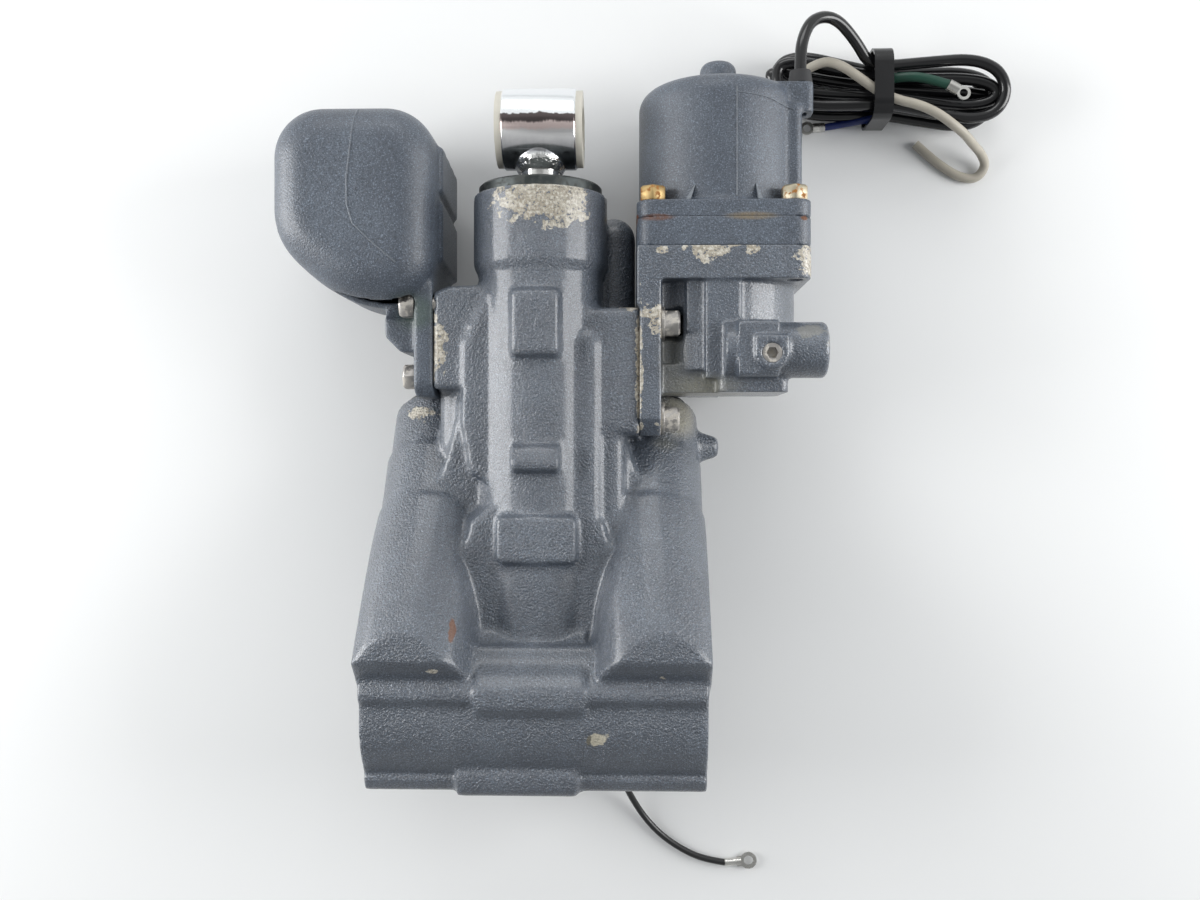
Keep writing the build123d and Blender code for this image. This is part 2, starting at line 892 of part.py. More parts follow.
# The filler's screw plug, on the reservoir's back
filler_z = tank_z - tank_half_depth - free_gap
with BuildPart() as filler_plug:
    with BuildSketch(Plane.XY.offset(filler_z)):
        with Locations((filler_x, filler_y)):
            Circle(filler_r - free_gap)
    extrude(amount=tank_wall + 2)
    with BuildSketch(Plane.XY.offset(filler_z)):
        with Locations((filler_x, filler_y)):
            Circle(filler_r + 3)
    extrude(amount=-2)
    with BuildSketch(Plane.XY.offset(filler_z - 2)):
        with Locations((filler_x, filler_y)):
            RegularPolygon(bolt_flats / 2, 6, major_radius=False)
    extrude(amount=-4.5)
save(filler_plug.part, "filler_plug")

# Pump housing: a mounting plate, a deck for the motor, a round body and a valve boss
plate_front_z = 25.0
deck_front_z = motor_z + motor_flange_half
slab_x = motor_x - motor_flange_half
plate_right_x = pump_face_x + pump_plate
flange_half = motor_flange_half
bolt_pitch = flange_half - 8.0
front_of_body_z = motor_z + pump_body_r
valve_r = 5.95
valve_bore_foot_x = 119.0
clip_x = 138.5
clip_r = 7.0
clip_thickness = 1.2
relief_y = 183.0
pad_front_z = 36.5
# the relief valve's bores: radius, and the heights between which each one runs
relief_bores = [(4.6, 27.0, pad_front_z), (3.6, 12.0, 27.0), (1.8, 2.0, 12.0)]
driven_x = motor_x - gear_spacing
rise_r = 3.0
rises_z = [motor_z + 10.5, motor_z - 10.5]
rise_x = motor_x - gear_spacing / 2
cross_x = 76.0
with BuildPart() as pump_housing:
    with BuildSketch(Plane.YZ.offset(pump_face_x)):
        with BuildLine():
            Polyline(
                (pump_boss_low_y, boss_back_z + 16),
                (pump_boss_low_y, plate_front_z - 9),
                (pump_boss_low_y + 8, plate_front_z - 1),
                (pump_boss_high_y, plate_front_z),
                (pump_boss_high_y, boss_back_z),
                (pump_boss_low_y + 20, boss_back_z),
                close=True,
            )
        make_face()
    extrude(amount=pump_plate)
    with BuildSketch(Plane.YZ.offset(slab_x)):
        with Locations(((pump_boss_high_y + free_gap + deck_high_y) / 2, -4)):
            Rectangle(deck_high_y - pump_boss_high_y - free_gap, 2 * (deck_front_z + 4))
    extrude(amount=plate_right_x - slab_x)
    with BuildSketch(across(deck_low_y)):
        with Locations((motor_x, motor_z)):
            RectangleRounded(2 * flange_half, 2 * flange_half, 7)
    extrude(amount=-(deck_high_y - deck_low_y))
    with BuildSketch(across(176)):
        with Locations((motor_x, motor_z)):
            Circle(pump_body_r)
    extrude(amount=-(deck_low_y - 176))
    # the left part of the body is square, and its front stands in three steps
    with BuildSketch(across(172)):
        with BuildLine():
            Polyline(
                (plate_right_x - 1, boss_back_z),
                (plate_right_x - 1, 12),
                (82, 12),
                (82, front_of_body_z + 2),
                (99, front_of_body_z + 2),
                (99, boss_back_z),
                close=True,
            )
        make_face()
    extrude(amount=-(deck_low_y - 172))
    with BuildSketch(across(195)):
        with BuildLine():
            Polyline((73, 0), (73, 19.5), (90, 19.5), (90, 0), close=True)
        make_face()
    extrude(amount=-(deck_low_y - 195))
    with BuildSketch(across(pump_floor_y)):
        with Locations(((plate_right_x + 92) / 2 - 1, -8)):
            Rectangle(92 - plate_right_x + 2, 48)
        with Locations((105, 1)):
            RectangleRounded(34, 46, 4)
    extrude(amount=-14)
    # the valve boss, its square shoulder and the pad of the relief valve
    with BuildSketch(Plane.YZ.offset(motor_x)):
        with Locations((valve_y, valve_z)):
            Circle(valve_boss_r)
    extrude(amount=valve_tip_x - motor_x)
    with BuildSketch(Plane.YZ.offset(97)):
        with Locations((valve_y, 10)):
            RectangleRounded(2 * valve_boss_r, 2 * (pad_front_z - 12.5), 2)
    extrude(amount=19)
    with BuildSketch(Plane.XY.offset(10)):
        with BuildLine():
            Line((plug_x - 8, valve_y + 6), (plug_x + 8, valve_y + 6))
            Line((plug_x + 8, valve_y + 6), (plug_x + 8, relief_y))
            ThreePointArc(
                (plug_x + 8, relief_y), (plug_x, relief_y - 8), (plug_x - 8, relief_y)
            )
            Line((plug_x - 8, relief_y), (plug_x - 8, valve_y + 6))
        make_face()
    extrude(amount=pad_front_z - 10)
    chamfer(
        pump_housing.edges()
        .filter_by(GeomType.CIRCLE)
        .filter_by(lambda e: abs(e.center().X - valve_tip_x) < 0.01),
        1.6,
    )
    # the chamber of the gear pump, open towards the motor
    with BuildSketch(across(cavity_floor_y)):
        with Locations((motor_x, motor_z)):
            Circle(pump_cavity_r)
    extrude(amount=-(deck_high_y - cavity_floor_y), mode=Mode.SUBTRACT)
    # the bores of the two valves
    with BuildSketch(Plane.YZ.offset(valve_tip_x)):
        with Locations((valve_y, valve_z)):
            Circle(valve_r + running_gap)
    extrude(amount=valve_bore_foot_x - valve_tip_x, mode=Mode.SUBTRACT)
    with BuildSketch(Plane.YZ.offset(clip_x)):
        with Locations((valve_y, valve_z)):
            Circle(clip_r)
    extrude(amount=clip_thickness, mode=Mode.SUBTRACT)
    for bore, low, high in relief_bores:
        with BuildSketch(Plane.XY.offset(high)):
            with Locations((plug_x, relief_y)):
                Circle(bore)
        extrude(amount=low - high, mode=Mode.SUBTRACT)
    # oil ports with their sealing grooves, the bores that join them, and bolt holes
    for (hole_y, hole_z), foot_x in zip(oil_ports, (rise_x, cross_x)):
        with BuildSketch(Plane.YZ.offset(pump_face_x)):
            with Locations((hole_y, hole_z)):
                Circle(port_r)
        extrude(amount=foot_x - pump_face_x, mode=Mode.SUBTRACT)
        with BuildSketch(Plane.YZ.offset(pump_face_x)):
            with Locations((hole_y, hole_z)):
                Circle(seal_r)
        extrude(amount=seal_d, mode=Mode.SUBTRACT)
    for (hole_y, _), rise_z in zip(oil_ports, rises_z):
        with BuildSketch(across(hole_y)):
            with Locations((rise_x, rise_z)):
                Circle(rise_r)
        extrude(amount=-(cavity_floor_y - hole_y), mode=Mode.SUBTRACT)
    with BuildSketch(Plane.XY.offset(rises_z[1])):
        with Locations((cross_x, oil_ports[1][0])):
            Circle(rise_r)
    extrude(amount=rises_z[0] - rises_z[1], mode=Mode.SUBTRACT)
    with BuildSketch(Plane.YZ.offset(cross_x)):
        with Locations((oil_ports[1][0], rises_z[1])):
            Circle(rise_r)
    extrude(amount=rise_x - cross_x, mode=Mode.SUBTRACT)
    for hole_y, hole_z in pump_bolts_at:
        with BuildSketch(Plane.YZ.offset(pump_face_x)):
            with Locations((hole_y, hole_z)):
                Circle(bolt_r)
        extrude(amount=pump_plate, mode=Mode.SUBTRACT)
        with BuildSketch(Plane.YZ.offset(plate_right_x)):
            with Locations((hole_y, hole_z)):
                Circle(washer_r + 0.6)
        extrude(amount=washer + bolt_head + 1.5, mode=Mode.SUBTRACT)
    with BuildSketch(across(deck_low_y)):
        with Locations((motor_x, motor_z)):
            with GridLocations(2 * bolt_pitch, 2 * bolt_pitch, 2, 2):
                Circle(bolt_r)
    extrude(amount=-(deck_high_y - deck_low_y), mode=Mode.SUBTRACT)
    # room for the starboard trim cylinder, its end screw and its rod's head
    for start, room_r, room in (
        (trim_neck_at - 10, trim_mouth_r + 0.8, trim_length - trim_neck_at + 10),
        (trim_length, trim_gland_flange_r + 1.5, 14.0),
        (trim_length, trim_head_r + 1.5, trim_stroke + 30),
    ):
        with BuildSketch(trim_across(1, start)):
            Circle(room_r)
        extrude(amount=room, mode=Mode.SUBTRACT)
save(pump_housing.part, "pump_housing")

with BuildPart() as pump_bolts:
    for hole_y, hole_z in pump_bolts_at:
        add(placed(hex_bolt(pump_plate + 14), (plate_right_x, hole_y, hole_z), (1, 0, 0)))
save(pump_bolts.part, "pump_bolts")

with BuildPart() as port_seals:
    seals = [(pump_face_x, hole_y, hole_z, 1) for hole_y, hole_z in oil_ports]
    seals.append((tank_face_x, port_y, port_z, -1))
    for seal_x, seal_y, seal_z, away in seals:
        with BuildSketch(Plane.YZ.offset(seal_x)):
            with Locations((seal_y, seal_z)):
                Circle(seal_r)
                Circle(seal_r - 1.8, mode=Mode.SUBTRACT)
        extrude(amount=away * seal_d)
save(port_seals.part, "port_seals")

# The relief valve under its screw plug
(plug_r, plug_foot_z, _), (_, ball_seat_z, _), _ = relief_bores
ball_r = 3.1
with BuildPart() as relief_plug:
    with BuildSketch(Plane.XY.offset(plug_foot_z + 1)):
        with Locations((plug_x, relief_y)):
            Circle(plug_r)
    extrude(amount=pad_front_z - plug_foot_z - 1.6)
    with BuildSketch(Plane.XY.offset(pad_front_z - 0.6)):
        with Locations((plug_x, relief_y)):
            RegularPolygon(2.5, 6, major_radius=False)
    extrude(amount=-4, mode=Mode.SUBTRACT)
save(relief_plug.part, "relief_plug")
ball_z = ball_seat_z + 0.25 + sqrt(ball_r**2 - relief_bores[2][0] ** 2)
with BuildPart() as relief_ball:
    with Locations((plug_x, relief_y, ball_z)):
        Sphere(ball_r)
save(relief_ball.part, "relief_ball")
spring_low_z = ball_z + ball_r + 0.2
spring_rise = plug_foot_z + 1 - 0.5 - spring_low_z - 0.6
with BuildPart() as relief_spring:
    with BuildLine() as spring_line:
        Helix(
            pitch=spring_rise / 5,
            height=spring_rise,
            radius=2.6,
            center=(plug_x, relief_y, spring_low_z + 0.4),
        )
    with BuildSketch(Plane(origin=spring_line.line @ 0, z_dir=spring_line.line % 0)):
        Rectangle(0.7, 0.7)
    sweep(is_frenet=True)
save(relief_spring.part, "relief_spring")

# The manual release valve, a screw with a slot, behind its wire clip
valve_top_x = clip_x - free_gap
with BuildPart() as manual_valve:
    add(
        turned(
            [
                (0, valve_bore_foot_x + 0.4),
                (1.5, valve_bore_foot_x + 0.4),
                (valve_r - 1.5, valve_bore_foot_x + 5),
                (valve_r - 1.5, valve_bore_foot_x + 8),
                (valve_r, valve_bore_foot_x + 8),
                (valve_r, valve_top_x - 1),
                (valve_r - 1, valve_top_x),
                (0, valve_top_x),
            ],
            Plane(origin=(0, valve_y, valve_z), x_dir=(0, 1, 0), z_dir=(0, 0, -1)),
        )
    )
    with BuildSketch(Plane.YZ.offset(valve_top_x)):
        with Locations((valve_y, valve_z)):
            Rectangle(16, 1.8, rotation=35)
    extrude(amount=-3, mode=Mode.SUBTRACT)
save(manual_valve.part, "manual_valve")
with BuildPart() as valve_clip:
    with BuildSketch(Plane.YZ.offset(clip_x)):
        with Locations((valve_y, valve_z)):
            Circle(clip_r)
            Circle(clip_r - 2.4, mode=Mode.SUBTRACT)
            with Locations((-6, 0)):
                Rectangle(6, 2.5, mode=Mode.SUBTRACT)
    extrude(amount=clip_thickness)
save(valve_clip.part, "valve_clip")

# Gear pump: the plate with the pocket of the two gears, its cover and its screws
pocket_y = 200.0
cover_low_y = pocket_y + gear_height + 2 * running_gap
cover_high_y = 216.0
pitch_r = gear_spacing / 2
base_r = pitch_r * cos(radians(28))
tip_r = 9.6
root_r = 6.5
pocket_r = tip_r + free_gap
gear_bore_r = gear_shaft_r + running_gap
screw_ring_r = 25.0
with BuildPart() as gear_plate:
    with BuildSketch(across(cavity_floor_y)):
        with Locations((motor_x, motor_z)):
            Circle(gear_plate_r)
    extrude(amount=-(cover_low_y - cavity_floor_y))
    with BuildSketch(across(pocket_y)):
        with Locations((motor_x, motor_z), (driven_x, motor_z)):
            Circle(pocket_r)
        with Locations((rise_x, motor_z)):
            Rectangle(9, 27)
    extrude(amount=-(cover_low_y - pocket_y), mode=Mode.SUBTRACT)
    with BuildSketch(across(cavity_floor_y)):
        with Locations((motor_x, motor_z), (driven_x, motor_z)):
            Circle(gear_bore_r)
        with Locations(*[(rise_x, rise_z) for rise_z in rises_z]):
            Circle(rise_r)
    extrude(amount=-(pocket_y - cavity_floor_y), mode=Mode.SUBTRACT)
    with BuildSketch(across(cavity_floor_y)):
        with Locations((motor_x, motor_z)):
            with PolarLocations(screw_ring_r, 3, 0):
                Circle(2.5)
    extrude(amount=-(cover_low_y - cavity_floor_y), mode=Mode.SUBTRACT)
save(gear_plate.part, "gear_plate")
with BuildPart() as gear_cover:
    with BuildSketch(across(cover_low_y)):
        with Locations((motor_x, motor_z)):
            Circle(gear_plate_r)
            with PolarLocations(screw_ring_r, 3, 0):
                Circle(2.5, mode=Mode.SUBTRACT)
        with Locations((motor_x, motor_z), (driven_x, motor_z)):
            Circle(gear_bore_r, mode=Mode.SUBTRACT)
    extrude(amount=-(cover_high_y - cover_low_y))
save(gear_cover.part, "gear_cover")
with BuildPart() as gear_screws:
    with BuildSketch(across(cavity_floor_y)):
        with Locations((motor_x, motor_z)):
            with PolarLocations(screw_ring_r, 3, 0):
                Circle(2.5)
    extrude(amount=-(cover_high_y - cavity_floor_y))
    with BuildSketch(across(cover_high_y)):
        with Locations((motor_x, motor_z)):
            with PolarLocations(screw_ring_r, 3, 0):
                RegularPolygon(4, 6, major_radius=False)
    extrude(amount=-3.5)
save(gear_screws.part, "gear_screws")


def involute(angle):
    return tan(angle) - angle


def tooth_half(r):
    """Half the angle that a tooth spans at radius r."""
    turn = involute(radians(28)) - involute(acos(min(1.0, base_r / r)))
    return pi / (2 * gear_teeth) + turn - running_gap / pitch_r


def gear_outline(x, z, start):
    """The corners of a spur gear round (x, z), one tooth pointing along the start angle."""
    steps = 4
    flank = [root_r] + [base_r + (tip_r - base_r) * i / steps for i in range(steps + 1)]
    corners = []
    for tooth in range(gear_teeth):
        middle = start + 2 * pi * tooth / gear_teeth
        for r in flank:
            corners.append((r, middle - tooth_half(max(r, base_r))))
        for r in reversed(flank):
            corners.append((r, middle + tooth_half(max(r, base_r))))
    return [(x + r * cos(a), z + r * sin(a)) for r, a in corners]


coupling_low_y = 221.0
coupling_high_y = 234.0
shaft_joint_y = 229.0
with BuildPart() as drive_gear:
    with BuildSketch(across(pocket_y + running_gap)):
        with BuildLine():
            Polyline(*gear_outline(motor_x, motor_z, pi), close=True)
        make_face()
    extrude(amount=-gear_height)
    with BuildSketch(across(cavity_floor_y + free_gap)):
        with Locations((motor_x, motor_z)):
            Circle(gear_shaft_r)
    extrude(amount=-(shaft_joint_y - cavity_floor_y - free_gap))
save(drive_gear.part, "drive_gear")
with BuildPart() as driven_gear:
    with BuildSketch(across(pocket_y + running_gap)):
        with BuildLine():
            Polyline(*gear_outline(driven_x, motor_z, pi / gear_teeth), close=True)
        make_face()
    extrude(amount=-gear_height)
    with BuildSketch(across(cavity_floor_y + free_gap)):
        with Locations((driven_x, motor_z)):
            Circle(gear_shaft_r)
    extrude(amount=-(cover_high_y - cavity_floor_y - 2 * free_gap))
save(driven_gear.part, "driven_gear")

# Motor: a base with the lower bearing, and a drawn can with magnets inside
motor_corner = 8.0
seal_low_y = motor_foot_y - seal_height
bearing_low_y = seal_low_y - bearing_height
can_inner_r = motor_r - motor_wall
can_inner_top_y = motor_top_y - motor_wall
top_bearing_r = 9.0
top_bearing_y = can_inner_top_y + 0.8
nub_top_y = motor_top_y + 19
outlet_x = 131.0
outlet_top_y = motor_top_y - 1
with BuildPart() as motor_base:
    with BuildSketch(across(base_low_y)):
        with Locations((motor_x, motor_z)):
            RectangleRounded(2 * flange_half, 2 * flange_half, motor_corner)
    extrude(amount=-(motor_foot_y - base_low_y))
    with BuildSketch(across(bearing_low_y)):
        with Locations((motor_x, motor_z)):
            Circle(bearing_r)
    extrude(amount=-(motor_foot_y - bearing_low_y), mode=Mode.SUBTRACT)
    with BuildSketch(across(base_low_y)):
        with Locations((motor_x, motor_z)):
            Circle(shaft_r + 1.0)
            with GridLocations(2 * bolt_pitch, 2 * bolt_pitch, 2, 2):
                Circle(bolt_r)
    extrude(amount=-(motor_foot_y - base_low_y), mode=Mode.SUBTRACT)
save(motor_base.part, "motor_base")

with BuildPart() as motor_case:
    with BuildSketch(across(motor_foot_y)):
        with Locations((motor_x, motor_z)):
            RectangleRounded(2 * flange_half, 2 * flange_half, motor_corner)
    extrude(amount=-motor_flange)
    add(stub(motor_plane, motor_r, motor_foot_y, motor_top_y, 10.0))
    add(stub(motor_plane, 13.0, motor_foot_y, motor_top_y + 4, 3.0))
    add(stub(motor_plane, 9.4, motor_foot_y, nub_top_y - 3, 5.0))
    # the ridge that hides the leads, and the block where they come out
    with BuildSketch(across(motor_foot_y)):
        with Locations(((outlet_x + motor_x + 20) / 2, -2)):
            RectangleRounded(outlet_x - motor_x - 20, 20, 3)
    extrude(amount=-(outlet_top_y - 12 - motor_foot_y))
    with BuildSketch(across(outlet_top_y - 15)):
        with Locations((outlet_x - 6, -1)):
            RectangleRounded(24, 14, 3)
    extrude(amount=-15)
    # inside
    with BuildSketch(across(motor_foot_y)):
        with Locations((motor_x, motor_z)):
            Circle(can_inner_r)
    extrude(amount=-(can_inner_top_y - motor_foot_y), mode=Mode.SUBTRACT)
    with BuildSketch(across(can_inner_top_y)):
        with Locations((motor_x, motor_z)):
            Circle(top_bearing_r)
    extrude(amount=-9, mode=Mode.SUBTRACT)
    with BuildSketch(across(outlet_top_y)):
        with Locations((outlet_x, 0)):
            Circle(harness_d / 2)
    extrude(amount=21, mode=Mode.SUBTRACT)
    with BuildSketch(Plane.YZ.offset(outlet_x)):
        with Locations((outlet_top_y - 20, 0)):
            Circle(harness_d / 2)
    extrude(amount=-14, mode=Mode.SUBTRACT)
    with BuildSketch(across(motor_foot_y)):
        with Locations((motor_x, motor_z)):
            with GridLocations(2 * bolt_pitch, 2 * bolt_pitch, 2, 2):
                Circle(bolt_r)
    extrude(amount=-motor_flange, mode=Mode.SUBTRACT)
save(motor_case.part, "motor_case")

with BuildPart() as motor_bolts:
    bolt = hex_bolt(motor_foot_y + motor_flange - deck_low_y - 4, with_washer=False)
    for side_x in (-bolt_pitch, bolt_pitch):
        for side_z in (-bolt_pitch, bolt_pitch):
            corner = (motor_x + side_x, motor_foot_y + motor_flange, motor_z + side_z)
            add(placed(bolt, corner, (0, 1, 0)))
save(motor_bolts.part, "motor_bolts")

with BuildPart() as motor_bearings:
    for outer, low, high in (
        (bearing_r, bearing_low_y, seal_low_y),
        (top_bearing_r, top_bearing_y, top_bearing_y + 7),
    ):
        with BuildSketch(across(low)):
            with Locations((motor_x, motor_z)):
                Circle(outer)
                Circle(shaft_r + running_gap, mode=Mode.SUBTRACT)
        extrude(amount=low - high)
save(motor_bearings.part, "motor_bearings")

with BuildPart() as shaft_seal:
    with BuildSketch(across(seal_low_y)):
        with Locations((motor_x, motor_z)):
            Circle(bearing_r)
            Circle(shaft_r + running_gap, mode=Mode.SUBTRACT)
    extrude(amount=seal_low_y - motor_foot_y)
save(shaft_seal.part, "shaft_seal")

magnet_inner_r = can_inner_r - magnet_wall
core_r = magnet_inner_r - air_gap
with BuildPart() as magnets:
    with BuildSketch(across(core_low_y - 1)):
        with Locations((motor_x, motor_z)):
            Circle(can_inner_r)
            Circle(magnet_inner_r, mode=Mode.SUBTRACT)
            Rectangle(40, 2 * motor_r, mode=Mode.SUBTRACT)
    extrude(amount=-(core_high_y - core_low_y + 2))
save(magnets.part, "magnets")

# Brushes in boxes on a plate that lies on the motor's base
plate_y = motor_foot_y + 2.5
brush_low_y = plate_y + 2
brush_high_y = brush_low_y + 8
brush_inner = commutator_r + running_gap
box_inner = 12.5
box_outer = 30.0
with BuildPart() as brush_plate:
    with BuildSketch(across(motor_foot_y)):
        with Locations((motor_x, motor_z)):
            Circle(can_inner_r - 0.5)
            Circle(shaft_r + 2.5, mode=Mode.SUBTRACT)
    extrude(amount=motor_foot_y - plate_y)
    for side in sides.values():
        with BuildSketch(across(plate_y)):
            with Locations((motor_x + side * (box_inner + box_outer) / 2, motor_z)):
                Rectangle(box_outer - box_inner, 12)
        extrude(amount=plate_y - brush_high_y - 2)
        with BuildSketch(across(brush_low_y)):
            with Locations((motor_x + side * (box_inner + box_outer - 3) / 2, motor_z)):
                Rectangle(box_outer - box_inner - 3, 8)
        extrude(amount=brush_low_y - brush_high_y, mode=Mode.SUBTRACT)
save(brush_plate.part, "brush_plate")
with BuildPart() as brushes:
    for side in sides.values():
        with BuildSketch(across(brush_low_y)):
            with Locations((motor_x + side * (brush_inner + 19) / 2, motor_z)):
                Rectangle(19 - brush_inner, 8)
        extrude(amount=brush_low_y - brush_high_y)
    with BuildSketch(across(brush_low_y - 1)):
        with Locations((motor_x, motor_z)):
            Circle(brush_inner)
    extrude(amount=brush_low_y - brush_high_y - 2, mode=Mode.SUBTRACT)
save(brushes.part, "brushes")
with BuildPart() as brush_springs:
    for side in sides.values():
        with BuildLine() as spring_line:
            Helix(
                pitch=2.4,
                height=7.2,
                radius=2.6,
                center=(motor_x + side * 19.3, (brush_low_y + brush_high_y) / 2, motor_z),
                direction=(side, 0, 0),
            )
        with BuildSketch(Plane(origin=spring_line.line @ 0, z_dir=spring_line.line % 0)):
            Rectangle(0.5, 0.5)
        sweep(is_frenet=True)
save(brush_springs.part, "brush_springs")

grommet_high_y = outlet_top_y + 6.5
with BuildPart() as motor_grommet:
    with BuildSketch(across(outlet_top_y)):
        with Locations((outlet_x, 0)):
            Circle(6.2)
    extrude(amount=outlet_top_y - grommet_high_y, taper=8)
    with BuildSketch(across(outlet_top_y)):
        with Locations((outlet_x, 0)):
            Circle(harness_d / 2)
    extrude(amount=outlet_top_y - grommet_high_y, mode=Mode.SUBTRACT)
save(motor_grommet.part, "motor_grommet")

# Motor rotor
rotor_joint_y = shaft_joint_y + 0.2
end_turns = 2.8
slots = 12
with BuildPart() as armature_shaft:
    with BuildSketch(across(rotor_joint_y)):
        with Locations((motor_x, motor_z)):
            Circle(shaft_r)
    extrude(amount=rotor_joint_y - top_bearing_y - 7)
save(armature_shaft.part, "armature_shaft")
with BuildPart() as armature_core:
    with BuildSketch(across(core_low_y)):
        with Locations((motor_x, motor_z)):
            Circle(core_r)
            Circle(shaft_r, mode=Mode.SUBTRACT)
            with PolarLocations(core_r - 6, slots):
                Rectangle(14, 3.6, mode=Mode.SUBTRACT)
    extrude(amount=core_low_y - core_high_y)
save(armature_core.part, "armature_core")
with BuildPart() as windings:
    with BuildSketch(across(core_low_y)):
        with Locations((motor_x, motor_z)):
            with PolarLocations(core_r - 7.9, slots):
                Rectangle(9.4, 3.4)
    extrude(amount=core_low_y - core_high_y)
    for low, rise in ((core_high_y, 9.0), (core_low_y - end_turns, end_turns)):
        with BuildSketch(across(low)):
            with Locations((motor_x, motor_z)):
                Circle(core_r - 3)
                Circle(commutator_r - 4, mode=Mode.SUBTRACT)
        extrude(amount=-rise)
save(windings.part, "windings")
with BuildPart() as commutator:
    with BuildSketch(across(plate_y + 1)):
        with Locations((motor_x, motor_z)):
            Circle(commutator_r)
            Circle(shaft_r, mode=Mode.SUBTRACT)
            with PolarLocations(commutator_r, slots):
                Rectangle(1.6, 0.6, mode=Mode.SUBTRACT)
    extrude(amount=plate_y + 1 - core_low_y + end_turns)
save(commutator.part, "commutator")
with BuildPart() as drive_coupling:
    with BuildSketch(across(coupling_low_y)):
        with Locations((motor_x, motor_z)):
            Circle(7.5)
            Circle(shaft_r, mode=Mode.SUBTRACT)
    extrude(amount=coupling_low_y - coupling_high_y)
save(drive_coupling.part, "drive_coupling")


# Cables. Each route's points are the corners of a path of straight runs and arcs
def cord_tube(label, diameter, points):
    """A round tube along the points, each corner's arc as large as its runs allow."""
    runs = [Vector(*b) - Vector(*a) for a, b in zip(points, points[1:])]
    radii = [
        0.45 * min(one.length, two.length) / tan(radians(one.get_angle(two)) / 2)
        for one, two in zip(runs, runs[1:])
    ]
    with BuildPart() as tube:
        with BuildLine() as path:
            FilletPolyline(*points, radius=radii)
        with BuildSketch(Plane(origin=path.line @ 0, z_dir=path.line % 0)):
            Circle(diameter / 2)
        sweep()
    length = path.wires()[0].length
    ratio = tube.part.volume / (pi * diameter**2 / 4 * length)
    sizes = ", ".join(f"{radius:.1f}" for radius in radii)
    print(f"{label}: length {length:.1f}, volume ratio {ratio:.4f}, radii {sizes}")
    save(tube.part, label)


table = rest_z
harness_route = [
    (outlet_x, outlet_top_y - 3, 0),
    (outlet_x, outlet_top_y + 10, 0),
    (134.5, 344, -0.5),
    (144, 353, -6),
    (156, 354, -15),
    (166, 347, -25),
    (172, 337, -33),
]
cord_tube("harness_lead", harness_d, harness_route)

pale_z = table + lead_d / 2
pale_route = [
    (138, 339, -34),
    (146, 343, -28.5),
    (156, 340.5, -27),
    (166, 333.5, -27),
    (176, 326, -27),
    (186, 321.5, -27),
    (197, 319, -27),
    (207, 314.5, -27),
    (216, 308.5, -28.5),
    (224, 304.5, -34),
    (230.5, 301.5, -42.5),
    (237, 299, -50),
    (241.5, 293.5, -56),
    (236.5, 286.5, pale_z),
    (227, 288, pale_z),
    (218, 293.5, pale_z),
    (210, 300, pale_z),
    (203, 306.5, pale_z),
]
cord_tube("pale_lead", lead_d, pale_route)

blue_end = (153, 316, table + 2.7)
blue_route = [(181, 319, -50), (172, 318.4, -54), (162, 317.2, -56.6), blue_end]
cord_tube("blue_lead", 4.0, blue_route)

green_end = (213, 329.5, -28)
green_route = [(180, 334, -33), (190, 334.5, -28.8), (202, 333, -27.4), green_end]
cord_tube("green_lead", lead_d, green_route)

lug_barrel_at = 10.0
lug_barrel_top = 8.0
earth_start = earth_plane.from_local_coords(Vector(lug_barrel_at, 0, lug_barrel_top))
earth_next = earth_plane.from_local_coords(Vector(lug_barrel_at, 0, lug_barrel_top + 9))
earth_z = table + 2.2
earth_end = (98, -92.5, earth_z)
earth_route = [
    tuple(earth_start),
    tuple(earth_next),
    (39.6, -37, -41.5),
    (42.5, -47, -48.5),
    (47.5, -58, -54),
    (54, -68.5, -57),
    (63, -78, earth_z),
    (75, -86, earth_z),
    (87, -91, earth_z),
    earth_end,
]
cord_tube("earth_lead", earth_d, earth_route)


def crimp_end(label, origin, along, barrel_r, barrel, eye, hole):
    """A crimp terminal lying flat: a barrel from origin, then a flat ring eye."""
    frame = Plane(origin=origin, x_dir=along, z_dir=(0, 0, 1))
    with BuildPart() as end:
        with BuildSketch(Plane(origin=frame.origin, x_dir=frame.y_dir, z_dir=frame.x_dir)):
            Circle(barrel_r)
        extrude(amount=barrel)
        with BuildSketch(frame.offset(-0.4)):
            with Locations((barrel + eye - 0.5, 0)):
                Circle(eye)
            with Locations((barrel, 0)):
                Rectangle(eye, 1.2 * eye)
            with Locations((barrel + eye - 0.5, 0)):
                Circle(hole, mode=Mode.SUBTRACT)
        extrude(amount=0.8)
    save(end.part, label)


crimp_end("blue_terminal", blue_end, (-1, -0.05, 0), 2.6, 6.5, 3.6, 2.1)
crimp_end("green_terminal", green_end, (8.6, -4.8, 0), 3.0, 6.0, 3.6, 2.1)
crimp_end("earth_terminal", earth_end, (1, 0.1, 0), 2.1, 9.0, 4.6, 2.6)

with BuildPart() as earth_lug:
    with BuildSketch(earth_plane):
        Circle(5.5)
        with Locations((lug_barrel_at / 2, 0)):
            Rectangle(lug_barrel_at, 5)
        Circle(earth_screw_r, mode=Mode.SUBTRACT)
    extrude(amount=1.0)
    with BuildSketch(earth_plane):
        with Locations((lug_barrel_at, 0)):
            Circle(2.6)
    extrude(amount=lug_barrel_top)
save(earth_lug.part, "earth_lug")
with BuildPart() as earth_screw:
    with BuildSketch(earth_plane):
        Circle(earth_screw_r)
    extrude(amount=-9)
    with BuildSketch(earth_plane.offset(1.0)):
        RegularPolygon(5, 6, major_radius=False)
    extrude(amount=4)
    with BuildSketch(earth_plane):
        Circle(earth_screw_r)
    extrude(amount=1.0)
save(earth_screw.part, "earth_screw")

